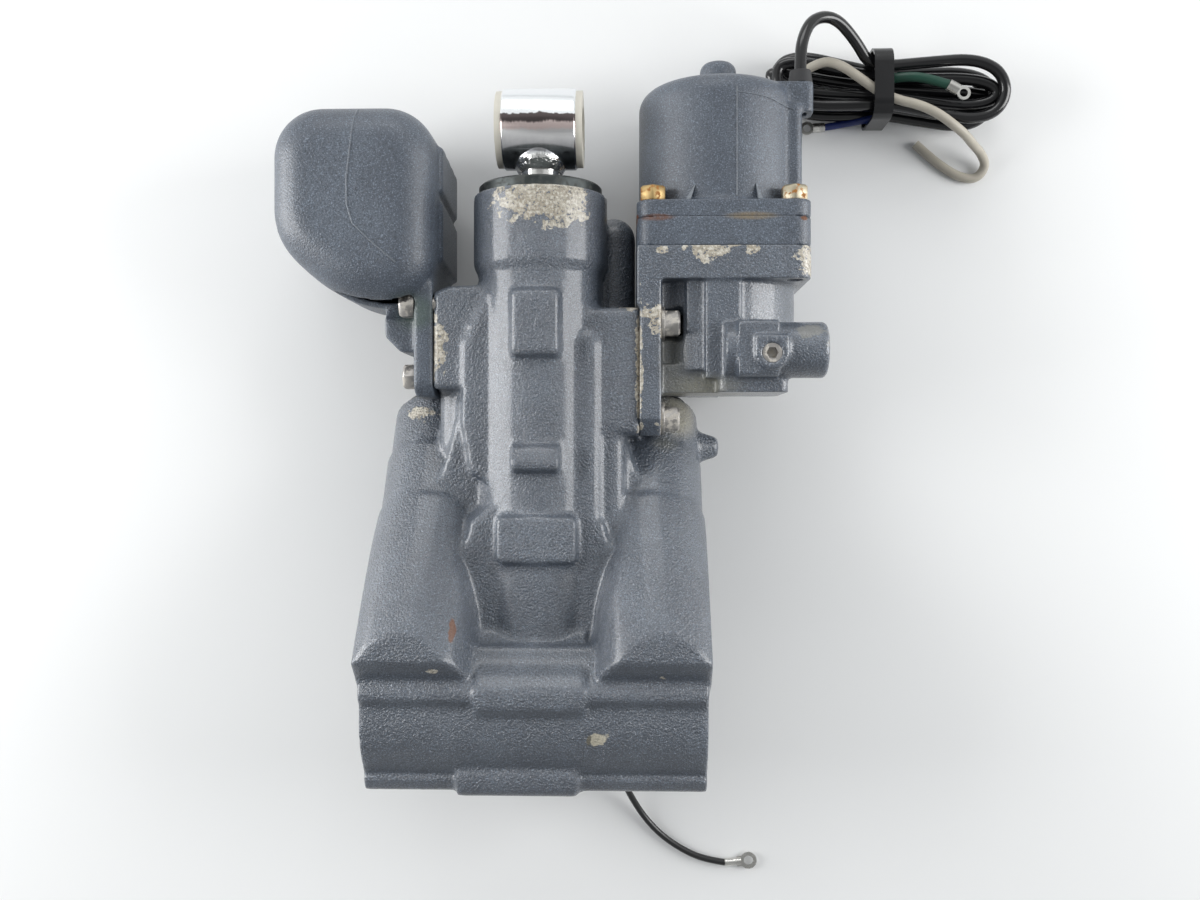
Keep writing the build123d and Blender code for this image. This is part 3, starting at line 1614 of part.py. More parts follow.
# The folded bundle of leads, and the tie round its waist
hank_top_z = -30.0
with BuildPart() as cable_hank:
    with BuildSketch(Plane.XY.offset(table)):
        with BuildLine():
            Spline(
                (114, 337),
                (122, 357),
                (136, 365.5),
                (152, 359.5),
                (178, 348),
                (213, 352.5),
                (240, 344),
                (252, 328),
                (243, 311.5),
                (213, 304),
                (178, 315.5),
                (150, 321.7),
                (124, 325),
                periodic=True,
            )
        make_face()
    extrude(amount=hank_top_z - table)
    fillet(cable_hank.edges().group_by(Axis.Z)[-1], 7.0)
    fillet(cable_hank.edges().group_by(Axis.Z)[0], 6.0)
save(cable_hank.part, "cable_hank")

tie_low_y = 312.5
tie_high_y = 350.0
tie_top_z = -23.0
tie_band = 1.5
with BuildPart() as cable_tie:
    with BuildSketch(Plane.YZ.offset(173.5)):
        with Locations(((tie_low_y + tie_high_y) / 2, (table + tie_top_z) / 2)):
            RectangleRounded(tie_high_y - tie_low_y, tie_top_z - table, 9)
            RectangleRounded(
                tie_high_y - tie_low_y - 2 * tie_band,
                tie_top_z - table - 2 * tie_band,
                9 - tie_band,
                mode=Mode.SUBTRACT,
            )
    extrude(amount=10)
save(cable_tie.part, "cable_tie")
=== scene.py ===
import json
from math import cos, pi, radians, sin

import bmesh
import bpy
from mathutils import Matrix, Vector


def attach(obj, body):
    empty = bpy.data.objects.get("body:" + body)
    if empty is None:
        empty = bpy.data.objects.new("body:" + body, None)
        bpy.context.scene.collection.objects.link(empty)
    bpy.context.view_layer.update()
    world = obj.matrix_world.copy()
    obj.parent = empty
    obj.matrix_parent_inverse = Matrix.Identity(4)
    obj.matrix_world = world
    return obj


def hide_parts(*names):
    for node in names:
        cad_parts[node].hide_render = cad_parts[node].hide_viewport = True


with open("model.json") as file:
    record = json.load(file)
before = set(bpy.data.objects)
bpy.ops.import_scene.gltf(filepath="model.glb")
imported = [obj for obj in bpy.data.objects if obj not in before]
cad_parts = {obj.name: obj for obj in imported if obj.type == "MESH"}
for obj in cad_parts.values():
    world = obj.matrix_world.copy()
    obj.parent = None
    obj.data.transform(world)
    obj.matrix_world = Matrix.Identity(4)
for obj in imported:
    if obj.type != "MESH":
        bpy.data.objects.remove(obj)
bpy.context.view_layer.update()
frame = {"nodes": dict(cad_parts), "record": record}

MM = 0.001
TABLE = -60.0
MOTOR_X = 91.0
EYE_Y = 299.2
ROOM_LEVEL = 0.58
TABLE_HALF = 3.0


def metres(x, y, z):
    return Vector((x * MM, y * MM, z * MM))


# Camera: it looks down on the unit from just above its middle, a little to the right
eye_point = metres(45.7, 137, 560)
look_point = metres(30.1, 137, 0)
camera_data = bpy.data.cameras.new("overhead_camera")
camera_data.sensor_width = 36.0
camera_data.lens = 33.2
camera_data.clip_start = 0.01
camera = bpy.data.objects.new("overhead_camera", camera_data)
backward = (eye_point - look_point).normalized()
rightward = Vector((0, 1, 0)).cross(backward).normalized()
camera_axes = Matrix((rightward, backward.cross(rightward), backward)).transposed()
camera.matrix_world = Matrix.Translation(eye_point) @ camera_axes.to_4x4()
bpy.context.scene.collection.objects.link(camera)
bpy.context.scene.camera = camera
bpy.context.scene.view_settings.view_transform = "Standard"


# Light: a bright room and two soft boxes
def soft_box(name, place, aim, width, height, power):
    lamp = bpy.data.lights.new(name, "AREA")
    lamp.shape = "RECTANGLE"
    lamp.size = width
    lamp.size_y = height
    lamp.energy = power
    holder = bpy.data.objects.new(name, lamp)
    spot, target = metres(*place), metres(*aim)
    holder.matrix_world = Matrix.Translation(spot) @ (
        (target - spot).to_track_quat("-Z", "Y").to_matrix().to_4x4()
    )
    bpy.context.scene.collection.objects.link(holder)


soft_box("left_window", (-950, 260, 330), (10, 150, 20), 0.55, 0.75, 12.0)
soft_box("right_window", (1000, 260, 380), (60, 160, 10), 0.5, 0.75, 9.5)
soft_box("far_window", (-60, 1250, 560), (30, 150, 0), 0.8, 0.4, 3.2)

room = bpy.data.worlds.new("pale_room")
bpy.context.scene.world = room
room.use_nodes = True
room_nodes = room.node_tree.nodes
room_links = room.node_tree.links


def room_step(source, low, high, at_low, at_high):
    """A smooth change of the room's brightness with one part of the direction."""
    node = room_nodes.new("ShaderNodeMapRange")
    node.interpolation_type = "SMOOTHSTEP"
    for name, number in (
        ("From Min", low), ("From Max", high), ("To Min", at_low), ("To Max", at_high)
    ):
        node.inputs[name].default_value = number
    room_links.new(source, node.inputs["Value"])
    return node.outputs["Result"]


def room_math(operation, first, second):
    node = room_nodes.new("ShaderNodeMath")
    node.operation = operation
    for socket, given in zip(node.inputs, (first, second)):
        if isinstance(given, float):
            socket.default_value = given
        else:
            room_links.new(given, socket)
    return node.outputs[0]


# The room is dark straight overhead, where the photographer leans in, and towards the near side
heading = room_nodes.new("ShaderNodeSeparateXYZ")
room_links.new(room_nodes.new("ShaderNodeTexCoord").outputs["Generated"], heading.inputs[0])
overhead = room_step(heading.outputs["Z"], 0.84, 0.97, 1.0, 0.45)
near_side = room_step(heading.outputs["Y"], -0.75, 0.45, 0.45, 1.0)
pattern = room_math("MULTIPLY", overhead, near_side)
room_light = room_nodes["Background"]
room_light.inputs["Color"].default_value = (0.94, 0.97, 1.0, 1)
room_links.new(room_math("MULTIPLY", pattern, ROOM_LEVEL), room_light.inputs["Strength"])
backdrop = room_nodes.new("ShaderNodeBackground")
backdrop.inputs["Color"].default_value = (0.93, 0.95, 0.95, 1)
seen = room_nodes.new("ShaderNodeLightPath")
# The camera sees a plain backdrop, and metal and glass show it with the room's pattern
backdrop_level = room_math("MAXIMUM", seen.outputs["Is Camera Ray"], pattern)
room_links.new(backdrop_level, backdrop.inputs["Strength"])
pick = room_nodes.new("ShaderNodeMixShader")
sharp = room_math("MAXIMUM", seen.outputs["Is Glossy Ray"], seen.outputs["Is Transmission Ray"])
direct = room_math("MAXIMUM", seen.outputs["Is Camera Ray"], sharp)
room_links.new(direct, pick.inputs["Fac"])
room_links.new(room_light.outputs["Background"], pick.inputs[1])
room_links.new(backdrop.outputs["Background"], pick.inputs[2])
room_links.new(pick.outputs["Shader"], room_nodes["World Output"].inputs["Surface"])


# Materials
class Finish:
    """A material's nodes, with short ways to add and join them."""

    def __init__(self, name, colour, roughness, metallic=0.0):
        self.material = bpy.data.materials.new(name)
        self.material.use_nodes = True
        self.nodes = self.material.node_tree.nodes
        self.links = self.material.node_tree.links
        self.shader = self.nodes["Principled BSDF"]
        self.shader.inputs["Base Color"].default_value = (*colour, 1)
        self.shader.inputs["Roughness"].default_value = roughness
        self.shader.inputs["Metallic"].default_value = metallic
        self.place = self.nodes.new("ShaderNodeTexCoord").outputs["Object"]

    def join(self, source, socket):
        self.links.new(source, socket)

    def value(self, operation, first, second=None, third=None):
        node = self.nodes.new("ShaderNodeMath")
        node.operation = operation
        for socket, given in zip(node.inputs, (first, second, third)):
            if given is None:
                continue
            if isinstance(given, (int, float)):
                socket.default_value = given
            else:
                self.join(given, socket)
        return node.outputs[0]

    def noise(self, grain_mm, detail=2.0, roughness=0.5, place=None):
        node = self.nodes.new("ShaderNodeTexNoise")
        node.inputs["Scale"].default_value = 1000.0 / grain_mm
        node.inputs["Detail"].default_value = detail
        node.inputs["Roughness"].default_value = roughness
        self.join(place or self.place, node.inputs["Vector"])
        return node.outputs["Fac"]

    def steps(self, source, low, high, reverse=False):
        node = self.nodes.new("ShaderNodeMapRange")
        node.interpolation_type = "SMOOTHSTEP"
        node.inputs["From Min"].default_value = low
        node.inputs["From Max"].default_value = high
        node.inputs["To Min"].default_value = 1.0 if reverse else 0.0
        node.inputs["To Max"].default_value = 0.0 if reverse else 1.0
        self.join(source, node.inputs["Value"])
        return node.outputs["Result"]

    def blend(self, amount, first, second):
        node = self.nodes.new("ShaderNodeMix")
        node.data_type = "RGBA"
        sockets = (node.inputs[0], node.inputs[6], node.inputs[7])
        for socket, given in zip(sockets, (amount, first, second)):
            if isinstance(given, (int, float)):
                socket.default_value = given
            elif isinstance(given, tuple):
                socket.default_value = (*given, 1)
            else:
                self.join(given, socket)
        return node.outputs[2]

    def mix(self, amount, first, second):
        """A number between first and second."""
        node = self.nodes.new("ShaderNodeMapRange")
        node.inputs["To Min"].default_value = first
        node.inputs["To Max"].default_value = second
        self.join(amount, node.inputs["Value"])
        return node.outputs["Result"]

    def near(self, centre, reach):
        """1 at a centre in millimetres, falling to 0 at the edge of an ellipsoid of that reach."""
        node = self.nodes.new("ShaderNodeMapping")
        node.vector_type = "TEXTURE"
        node.inputs["Location"].default_value = metres(*centre)
        node.inputs["Scale"].default_value = metres(*reach)
        self.join(self.place, node.inputs["Vector"])
        length = self.nodes.new("ShaderNodeVectorMath")
        length.operation = "LENGTH"
        self.join(node.outputs["Vector"], length.inputs[0])
        return self.value("SUBTRACT", 1.0, length.outputs["Value"])

    def bump(self, height, strength, distance_mm, under=None):
        node = self.nodes.new("ShaderNodeBump")
        node.inputs["Strength"].default_value = strength
        node.inputs["Distance"].default_value = distance_mm * MM
        self.join(height, node.inputs["Height"])
        if under is not None:
            self.join(under, node.inputs["Normal"])
        return node.outputs["Normal"]

    def use(self, colour=None, roughness=None, normal=None, metallic=None):
        for name, source in (
            ("Base Color", colour),
            ("Roughness", roughness),
            ("Normal", normal),
            ("Metallic", metallic),
        ):
            if source is not None:
                self.join(source, self.shader.inputs[name])
        return self.material


PAINT = (0.062, 0.075, 0.097)
PAINT_LIGHT = (0.085, 0.103, 0.13)
SALT = (0.5, 0.46, 0.385)


def cast_paint(name, salt_patches=(), grain=1.0, relief=1.0, gloss=1.0, dust_and_painted_shadow=(), marks_and_painted_shade=()):
    """Metallic paint over a grainy casting, with salt patches, veils of dust and small marks; veils
    and marks can also carry painted shadow and painted shade.
    """
    finish = Finish(name, PAINT, 0.4)
    finish.shader.inputs["Specular IOR Level"].default_value = 0.5 + 0.35 * gloss
    finish.shader.inputs["Coat Weight"].default_value = 0.6 * gloss
    finish.shader.inputs["Coat Roughness"].default_value = 0.3 - 0.1 * gloss
    cloud = finish.noise(26, 3.0)
    fine = finish.noise(1.1 * grain, 2.0, 0.6)
    flake = finish.noise(0.62, 1.0, 0.5)
    colour = finish.blend(finish.steps(cloud, 0.35, 0.7), PAINT, PAINT_LIGHT)
    dark = tuple(0.62 * part for part in PAINT)
    bright = tuple(min(1.0, 2.6 * part) for part in PAINT_LIGHT)
    colour = finish.blend(finish.steps(flake, 0.47, 0.3), colour, dark)
    glint = finish.value("MULTIPLY", finish.steps(flake, 0.55, 0.72), 0.6)
    colour = finish.blend(glint, colour, bright)
    edge_noise = finish.noise(6, 6.0, 0.62)
    pits = finish.noise(1.6, 3.0, 0.6)
    mask = None
    for centre, reach, strength in salt_patches:
        spot = finish.near(centre, reach)
        raised = finish.value("MULTIPLY_ADD", edge_noise, 2.6, -1.66)
        total = finish.value("ADD", finish.value("MULTIPLY", spot, strength), raised)
        piece = finish.steps(total, 0.2, 0.27)
        mask = piece if mask is None else finish.value("MAXIMUM", mask, piece)
    rough = finish.mix(cloud, 0.42 - 0.16 * gloss, 0.53 - 0.16 * gloss)
    if mask is not None:
        mask = finish.value("MULTIPLY", mask, finish.steps(pits, 0.36, 0.42))
        salt = finish.blend(finish.steps(edge_noise, 0.4, 0.7), (0.34, 0.3, 0.23), SALT)
        salt = finish.blend(finish.steps(pits, 0.5, 0.62), salt, (0.6, 0.57, 0.5))
        colour = finish.blend(mask, colour, salt)
        rough = finish.value("MAXIMUM", rough, finish.value("MULTIPLY", mask, 0.85))
    for centre, reach, shade in dust_and_painted_shadow:
        veil = finish.steps(finish.near(centre, reach), 0.0, 0.6)
        veil = finish.value("MULTIPLY", veil, finish.mix(pits, 0.2, 1.1))
        colour = finish.blend(veil, colour, shade)
        rough = finish.value("MAXIMUM", rough, finish.value("MULTIPLY", veil, 0.75))
    for centre, reach, shade in marks_and_painted_shade:
        total = finish.value("MULTIPLY_ADD", edge_noise, 1.6, finish.near(centre, reach))
        mark = finish.steps(total, 1.1, 1.3)
        colour = finish.blend(mark, colour, shade)
        rough = finish.value("MAXIMUM", rough, finish.value("MULTIPLY", mark, 0.7))
    edge = finish.steps(finish.nodes.new("ShaderNodeNewGeometry").outputs["Pointiness"], 0.53, 0.6)
    colour = finish.blend(finish.value("MULTIPLY", edge, 0.55), colour, (0.2, 0.22, 0.24))
    lumps = finish.noise(4.5 * grain, 3.0)
    normal = finish.bump(lumps, 0.6 * relief, 0.5)
    normal = finish.bump(fine, 1.0, 1.15 * relief, normal)
    if mask is not None:
        normal = finish.bump(finish.value("MULTIPLY", mask, pits), 0.7, 0.3, normal)
    return finish.use(colour, rough, normal)


def turned_metal(name, colour, roughness, stain=None, bump=0.05, right_of=None):
    """Bare metal, with stains or with another colour right of an X in millimetres."""
    finish = Finish(name, colour, roughness, 1.0)
    cloud = finish.noise(7, 3.0)
    fine = finish.noise(0.8, 2.0)
    shade = tuple(0.72 * part for part in colour)
    mixed = finish.blend(finish.steps(cloud, 0.35, 0.65), colour, shade)
    if right_of is not None:
        split = finish.nodes.new("ShaderNodeSeparateXYZ")
        finish.join(finish.place, split.inputs[0])
        border, other = right_of
        beyond = finish.value("GREATER_THAN", split.outputs["X"], border * MM)
        mixed = finish.blend(beyond, mixed, other)
    rough = finish.mix(cloud, max(0.05, roughness - 0.07), roughness + 0.1)
    metallic = None
    if stain is not None:
        spots = finish.steps(finish.noise(3.2, 4.0, 0.65), 0.5, 0.6)
        mixed = finish.blend(spots, mixed, stain)
        rough = finish.value("MAXIMUM", rough, finish.value("MULTIPLY", spots, 0.8))
        metallic = finish.mix(spots, 1.0, 0.0)
    return finish.use(mixed, rough, finish.bump(fine, bump, 0.1), metallic)


def eye_metal_with_painted_reflections():
    """Chrome on the eye with painted reflection: bright above, a ragged dark line, a heat-brown
    band, then a pale band and dark below.
    """
    finish = Finish("eye_chrome_painted_reflections", (0.86, 0.88, 0.9), 0.12, 1.0)
    split = finish.nodes.new("ShaderNodeSeparateXYZ")
    finish.join(finish.place, split.inputs[0])
    ragged = finish.noise(9, 4.0, 0.6)
    brushed = finish.nodes.new("ShaderNodeMapping")
    brushed.inputs["Scale"].default_value = (4.0, 0.25, 0.25)
    finish.join(finish.place, brushed.inputs["Vector"])
    strokes = finish.noise(3.5, 3.0, 0.7, brushed.outputs["Vector"])
    height = finish.value("MULTIPLY_ADD", ragged, 0.004, split.outputs["Y"])
    height = finish.value("MULTIPLY_ADD", strokes, 0.002, height)
    low = (EYE_Y + 3.0) * MM
    shade = (0.2, 0.21, 0.24)
    # Painted reflection in bands up the eye: dark grey below, pale, a ragged dark line and bright
    # above; only the heat-brown band is the metal's own colour
    for start, end, reflection_and_tint_band in (
        (-18, -7, (0.95, 0.94, 0.95)),
        (-6, -4, (1.0, 0.83, 0.8)),
        (-2.2, -0.8, (0.12, 0.1, 0.1)),
        (2.4, 2.9, (0.88, 0.9, 0.92)),
    ):
        shade = finish.blend(finish.steps(height, low + start * MM, low + end * MM), shade, reflection_and_tint_band)
    # Weld beads, painted near white as a painted highlight over their bump
    weld_and_painted_highlight = finish.steps(finish.near((0, EYE_Y - 20, 8), (15, 8, 14)), 0.1, 0.35)
    shade = finish.blend(weld_and_painted_highlight, shade, (0.85, 0.85, 0.84))
    beads = finish.value("MULTIPLY", finish.noise(3.2, 2.0), weld_and_painted_highlight)
    normal = finish.bump(beads, 0.8, 1.2, finish.bump(strokes, 0.15, 0.15))
    return finish.use(shade, finish.mix(strokes, 0.1, 0.28), normal)


def moulded(name, colour, roughness, grain=1.4, bump=0.25):
    finish = Finish(name, colour, roughness)
    cloud = finish.noise(9, 3.0)
    dim, full = (tuple(share * part for part in colour) for share in (0.8, 1.15))
    mixed = finish.blend(cloud, dim, full)
    normal = finish.bump(finish.noise(grain, 2.0), bump, 0.15)
    return finish.use(mixed, finish.mix(cloud, roughness - 0.06, roughness + 0.08), normal)


RUST = (0.13, 0.045, 0.015)
casting_salt = [
    ((4, 258, 28), (35, 22, 24), 1.6),
    ((0, 266, 16), (42, 5, 34), 1.7),
    ((-50, 189, 16), (9, 23, 12), 1.35),
    ((49.4, 176, 21), (2.6, 62, 9), 1.3),
    ((48, 206, 18), (10, 4, 10), 1.2),
    ((52.5, 124, 44), (4.5, 9, 14), 1.3),
    ((-62, 156, -12), (18, 6, 14), 1.0),
    ((-46, 35, 52), (5, 3, 6), 1.1),
    ((60, 31, 52), (5, 3, 6), 1.1),
]
paint_casting = cast_paint(
    "salted_casting_paint",
    casting_salt,
    dust_and_painted_shadow=[
        ((73, 157, -8), (20, 17, 30), (0.42, 0.39, 0.3)),
        # A dimmer copy of the cream veil on its left: painted shadow from the motor and pump
        ((66, 142, 10), (16, 8, 20), (0.16, 0.16, 0.13)),
    ],
    marks_and_painted_shade=[
        ((-37.8, 52.5, 46), (2.4, 7.5, 12), RUST),
        ((-59, 66, 40), (3, 3, 10), (0.02, 0.02, 0.022)),
        ((30, 1.5, 44), (8, 5, 8), (0.5, 0.46, 0.36)),
        # A dark line on the left wall of the notch: painted shade
        ((26, 1.5, 44), (2, 5, 8), (0.12, 0.11, 0.08)),
    ],
)
paint_pump = cast_paint(
    "pump_paint",
    [
        ((82, 235, 25), (15, 10, 9), 1.6),
        ((96, 236.5, 25), (7, 3, 8), 1.5),
        ((104, 235, 25), (6, 6, 8), 1.6),
        ((60, 234, 25), (5, 4, 8), 1.3),
        ((130, 228, 20), (8, 13, 14), 1.35),
        ((61, 199, 20), (8, 12, 14), 1.9),
        ((56, 202, 24), (8, 9, 6), 1.3),
        ((61, 152, 12), (8, 11, 13), 1.9),
        ((50.6, 176, 21), (2.2, 62, 9), 1.3),
    ],
    relief=0.6,
    dust_and_painted_shadow=[
        ((82, 168, 2), (34, 11, 34), (0.25, 0.24, 0.18)),
        ((64, 182, 8), (14, 26, 22), (0.13, 0.13, 0.11)),
    ],
    marks_and_painted_shade=[
        ((132, 194, 30), (13, 6, 12), (0.16, 0.165, 0.16)),
        ((140, 185, 22), (3, 12, 16), (0.2, 0.2, 0.18)),
    ],
)
paint_motor = cast_paint(
    "motor_paint",
    grain=0.8,
    relief=0.35,
    gloss=0.25,
    dust_and_painted_shadow=[((58, 249.5, 25), (11, 2.2, 8), RUST), ((104, 250, 25), (16, 2.5, 8), (0.2, 0.15, 0.08))],
    marks_and_painted_shade=[((48.5, 250, 5), (2.4, 9, 24), RUST), ((129, 249, 22), (3, 2, 6), RUST)],
)
paint_tank = cast_paint(
    "reservoir_paint",
    grain=0.8,
    relief=0.35,
    gloss=0.3,
    dust_and_painted_shadow=[((-62, 205, 20), (16, 12, 40), (0.045, 0.075, 0.06))],
)
chrome = turned_metal("worn_chrome", (0.8, 0.79, 0.77), 0.1)
eye_finish_painted_reflections = eye_metal_with_painted_reflections()
dull_zinc = turned_metal("dull_zinc", (0.46, 0.44, 0.42), 0.42, stain=(0.5, 0.47, 0.42), bump=0.5)
rusty_head = turned_metal(
    "rusty_bolt", (0.5, 0.36, 0.17), 0.5, stain=(0.33, 0.14, 0.03), bump=0.3,
    right_of=(MOTOR_X, (0.4, 0.36, 0.27)),
)
dark_steel = turned_metal(
    "dark_end_screw", (0.07, 0.078, 0.078), 0.45, stain=(0.05, 0.055, 0.052), bump=0.2
)
bright_steel = turned_metal("bright_steel", (0.55, 0.55, 0.54), 0.25)
brass = turned_metal("valve_brass", (0.72, 0.53, 0.25), 0.3)
copper = turned_metal("copper_wire", (0.75, 0.36, 0.2), 0.35)
tin = turned_metal("tinned_lug", (0.72, 0.71, 0.68), 0.25)
laminate = turned_metal("core_laminate", (0.32, 0.3, 0.28), 0.45)
cream_bush = moulded("cream_bush", (0.66, 0.63, 0.55), 0.5)
black_rubber = moulded("black_rubber", (0.018, 0.018, 0.02), 0.6)
black_sleeve = moulded("glossy_black_sleeve", (0.007, 0.007, 0.008), 0.16, 3.0, 0.15)
pale_jacket = moulded("pale_insulation", (0.4, 0.37, 0.31), 0.5)
blue_jacket = moulded("blue_insulation", (0.008, 0.02, 0.12), 0.4)
green_jacket = moulded("green_insulation", (0.004, 0.045, 0.028), 0.4)
black_jacket = moulded("black_insulation", (0.012, 0.012, 0.013), 0.3)
carbon = moulded("carbon_brush", (0.03, 0.03, 0.032), 0.5)
ferrite = moulded("magnet_ferrite", (0.05, 0.05, 0.055), 0.6)

SLOT_FINISH = {
    "paint": paint_casting,
    "paint_motor": paint_motor,
    "tank": paint_tank,
    "chrome": chrome,
    "steel": bright_steel,
    "zinc": dull_zinc,
    "dark": dark_steel,
    "bush": cream_bush,
    "rubber": black_rubber,
    "brass": brass,
    "copper": copper,
    "iron": laminate,
    "ferrite": ferrite,
    "carbon": carbon,
    "sleeve": black_sleeve,
    "pale": pale_jacket,
    "blue": blue_jacket,
    "green": green_jacket,
    "black": black_jacket,
    "tinned": tin,
}
nodes = frame["nodes"]
slot_of = {entry["node"]: entry["material_slot"] for entry in frame["record"]["subparts"]}
body_of_node = {
    node: body
    for body, members in frame["record"]["behaviour"]["bodies"].items()
    for node in members
}


def paint(obj, material):
    obj.data.materials.clear()
    obj.data.materials.append(material)


for node_name, node in nodes.items():
    paint(node, SLOT_FINISH[slot_of[node_name]])
paint(nodes["cable_tie"], black_sleeve)


def merged_copy(node_name):
    """A bmesh of a CAD node's own mesh with its loose triangles joined."""
    mesh = bmesh.new()
    mesh.from_mesh(nodes[node_name].data)
    bmesh.ops.remove_doubles(mesh, verts=mesh.verts, dist=1e-6)
    return mesh


def finished(name, mesh, material, node_name):
    """An object from a bmesh that rides with a CAD node's body and takes the given material."""
    data = bpy.data.meshes.new(name)
    mesh.to_mesh(data)
    mesh.free()
    obj = bpy.data.objects.new(name, data)
    bpy.context.scene.collection.objects.link(obj)
    data.materials.append(material)
    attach(obj, body_of_node[node_name])
    return obj


def apply_modifiers(obj):
    """Replaces the object's mesh by what its modifiers make of it."""
    graph = bpy.context.evaluated_depsgraph_get()
    shaped = bpy.data.meshes.new_from_object(obj.evaluated_get(graph))
    obj.modifiers.clear()
    old = obj.data
    obj.data = shaped
    bpy.data.meshes.remove(old)


def cast_skin(name, node_name, voxel_mm, rounds, material, keep=1.0):
    """A casting or moulding with soft edges: the CAD shape remeshed and smoothed."""
    skin = finished(name, merged_copy(node_name), material, node_name)
    remesh = skin.modifiers.new("even_mesh", "REMESH")
    remesh.mode = "VOXEL"
    remesh.voxel_size = voxel_mm * MM
    soft = skin.modifiers.new("soft_edges", "SMOOTH")
    soft.factor = 0.5
    soft.iterations = rounds
    if keep < 1.0:
        thin = skin.modifiers.new("thin_out", "DECIMATE")
        thin.ratio = keep
    apply_modifiers(skin)
    for polygon in skin.data.polygons:
        polygon.use_smooth = True
    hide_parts(node_name)
    return skin


cast_skin("casting_skin", "cylinder_casting", 1.6, 5, paint_casting, 0.55)
cast_skin("pump_skin", "pump_housing", 1.0, 4, paint_pump, 0.7)
cast_skin("motor_base_skin", "motor_base", 1.0, 3, paint_motor, 0.7)
case_skin = cast_skin("motor_case_skin", "motor_case", 1.0, 3, paint_motor, 0.7)
tank_skin = cast_skin("reservoir_skin", "reservoir", 1.3, 5, paint_tank, 0.8)


def crisp(name, node_name, material, width_mm, angle=35.0):
    """A machined piece: the CAD shape with a fine bevel on its sharp edges."""
    mesh = merged_copy(node_name)
    bmesh.ops.dissolve_limit(
        mesh, angle_limit=radians(1.0), verts=mesh.verts, edges=mesh.edges,
        use_dissolve_boundaries=False,
    )
    piece = finished(name, mesh, material, node_name)
    bevel = piece.modifiers.new("edge", "BEVEL")
    bevel.width = width_mm * MM
    bevel.segments = 2
    bevel.limit_method = "ANGLE"
    bevel.angle_limit = radians(angle)
    bevel.harden_normals = True
    apply_modifiers(piece)
    for polygon in piece.data.polygons:
        polygon.use_smooth = True
    sharp = bmesh.new()
    sharp.from_mesh(piece.data)
    for edge in sharp.edges:
        if len(edge.link_faces) == 2 and edge.calc_face_angle(0.0) > radians(30):
            edge.smooth = False
    sharp.to_mesh(piece.data)
    sharp.free()
    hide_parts(node_name)
    return piece


crisp("eye_ring", "tilt_eye", eye_finish_painted_reflections, 0.5)
crisp("reservoir_bolt_heads", "reservoir_bolts", dull_zinc, 0.35)
crisp("pump_bolt_heads", "pump_bolts", dull_zinc, 0.35)
crisp("motor_bolt_heads", "motor_bolts", rusty_head, 0.35)


def draped_line(name, node_name, skin, points, radius_mm, material):
    """A fine raised seam laid over a skin, along points seen from the front."""
    path = []
    for (x1, y1), (x2, y2) in zip(points, points[1:]):
        for step in range(10):
            share = step / 10
            x, y = x1 + (x2 - x1) * share, y1 + (y2 - y1) * share
            hit, spot, _, _ = skin.ray_cast(metres(x, y, 80), Vector((0, 0, -1)))
            if hit:
                path.append(spot)
    data = bpy.data.curves.new(name, "CURVE")
    data.dimensions = "3D"
    data.bevel_depth = radius_mm * MM
    data.bevel_resolution = 2
    spline = data.splines.new("POLY")
    spline.points.add(len(path) - 1)
    for point, spot in zip(spline.points, path):
        point.co = (*spot, 1)
    line = bpy.data.objects.new(name, data)
    bpy.context.scene.collection.objects.link(line)
    graph = bpy.context.evaluated_depsgraph_get()
    shaped = bmesh.new()
    shaped.from_mesh(line.evaluated_get(graph).to_mesh())
    bpy.data.objects.remove(line)
    bpy.data.curves.remove(data)
    seam = finished(name, shaped, material, node_name)
    for polygon in seam.data.polygons:
        polygon.use_smooth = True
    return seam


draped_line(
    "reservoir_seam", "reservoir", tank_skin,
    [(-87.5, 303), (-88.5, 290), (-91, 268), (-90.8, 255), (-88, 246), (-80, 238), (-66, 226)],
    0.45, paint_tank,
)
draped_line("motor_seam", "motor_case", case_skin, [(97, 260), (97, 319)], 0.4, paint_motor)
draped_line(
    "motor_lid_seam", "motor_case", case_skin, [(97, 310.5), (112, 309.5), (128, 306)], 0.35,
    paint_motor,
)
for side in (-1, 1):
    fin = bmesh.new()
    foot_x, top_x = MOTOR_X + 17.5 * side, MOTOR_X + 14.5 * side
    corners = [
        fin.verts.new(metres(x, y, z))
        for x, y, z in (
            (foot_x - 1.2, 258.3, 24.6), (foot_x + 1.2, 258.3, 24.6), (top_x + 0.8, 267, 20.5),
            (foot_x - 1.2, 258.3, 14), (foot_x + 1.2, 258.3, 14), (top_x + 0.8, 267, 14),
        )
    ]
    bmesh.ops.convex_hull(fin, input=corners)
    finished("gusset_fin_" + ("left" if side < 0 else "right"), fin, paint_motor, "motor_case")


# Cables
def cord_curve(name, points, diameter, material):
    """A round cable along the route's points, as one smooth spline."""
    data = bpy.data.curves.new(name, "CURVE")
    data.dimensions = "3D"
    data.bevel_depth = diameter / 2 * MM
    data.bevel_resolution = 5
    data.resolution_u = 8
    data.use_fill_caps = True
    spline = data.splines.new("NURBS")
    spline.points.add(len(points) - 1)
    for point, (x, y, z) in zip(spline.points, points):
        point.co = (x * MM, y * MM, z * MM, 1)
    spline.order_u = 3
    spline.use_endpoint_u = True
    obj = bpy.data.objects.new(name, data)
    bpy.context.scene.collection.objects.link(obj)
    data.materials.append(material)
    return obj


harness_route = [
    (131, 318, 0),
    (131, 331, 0),
    (132, 344, -1.5),
    (138, 357, -7),
    (151, 361.5, -15.5),
    (164, 352, -25),
    (173, 340, -31.5),
]

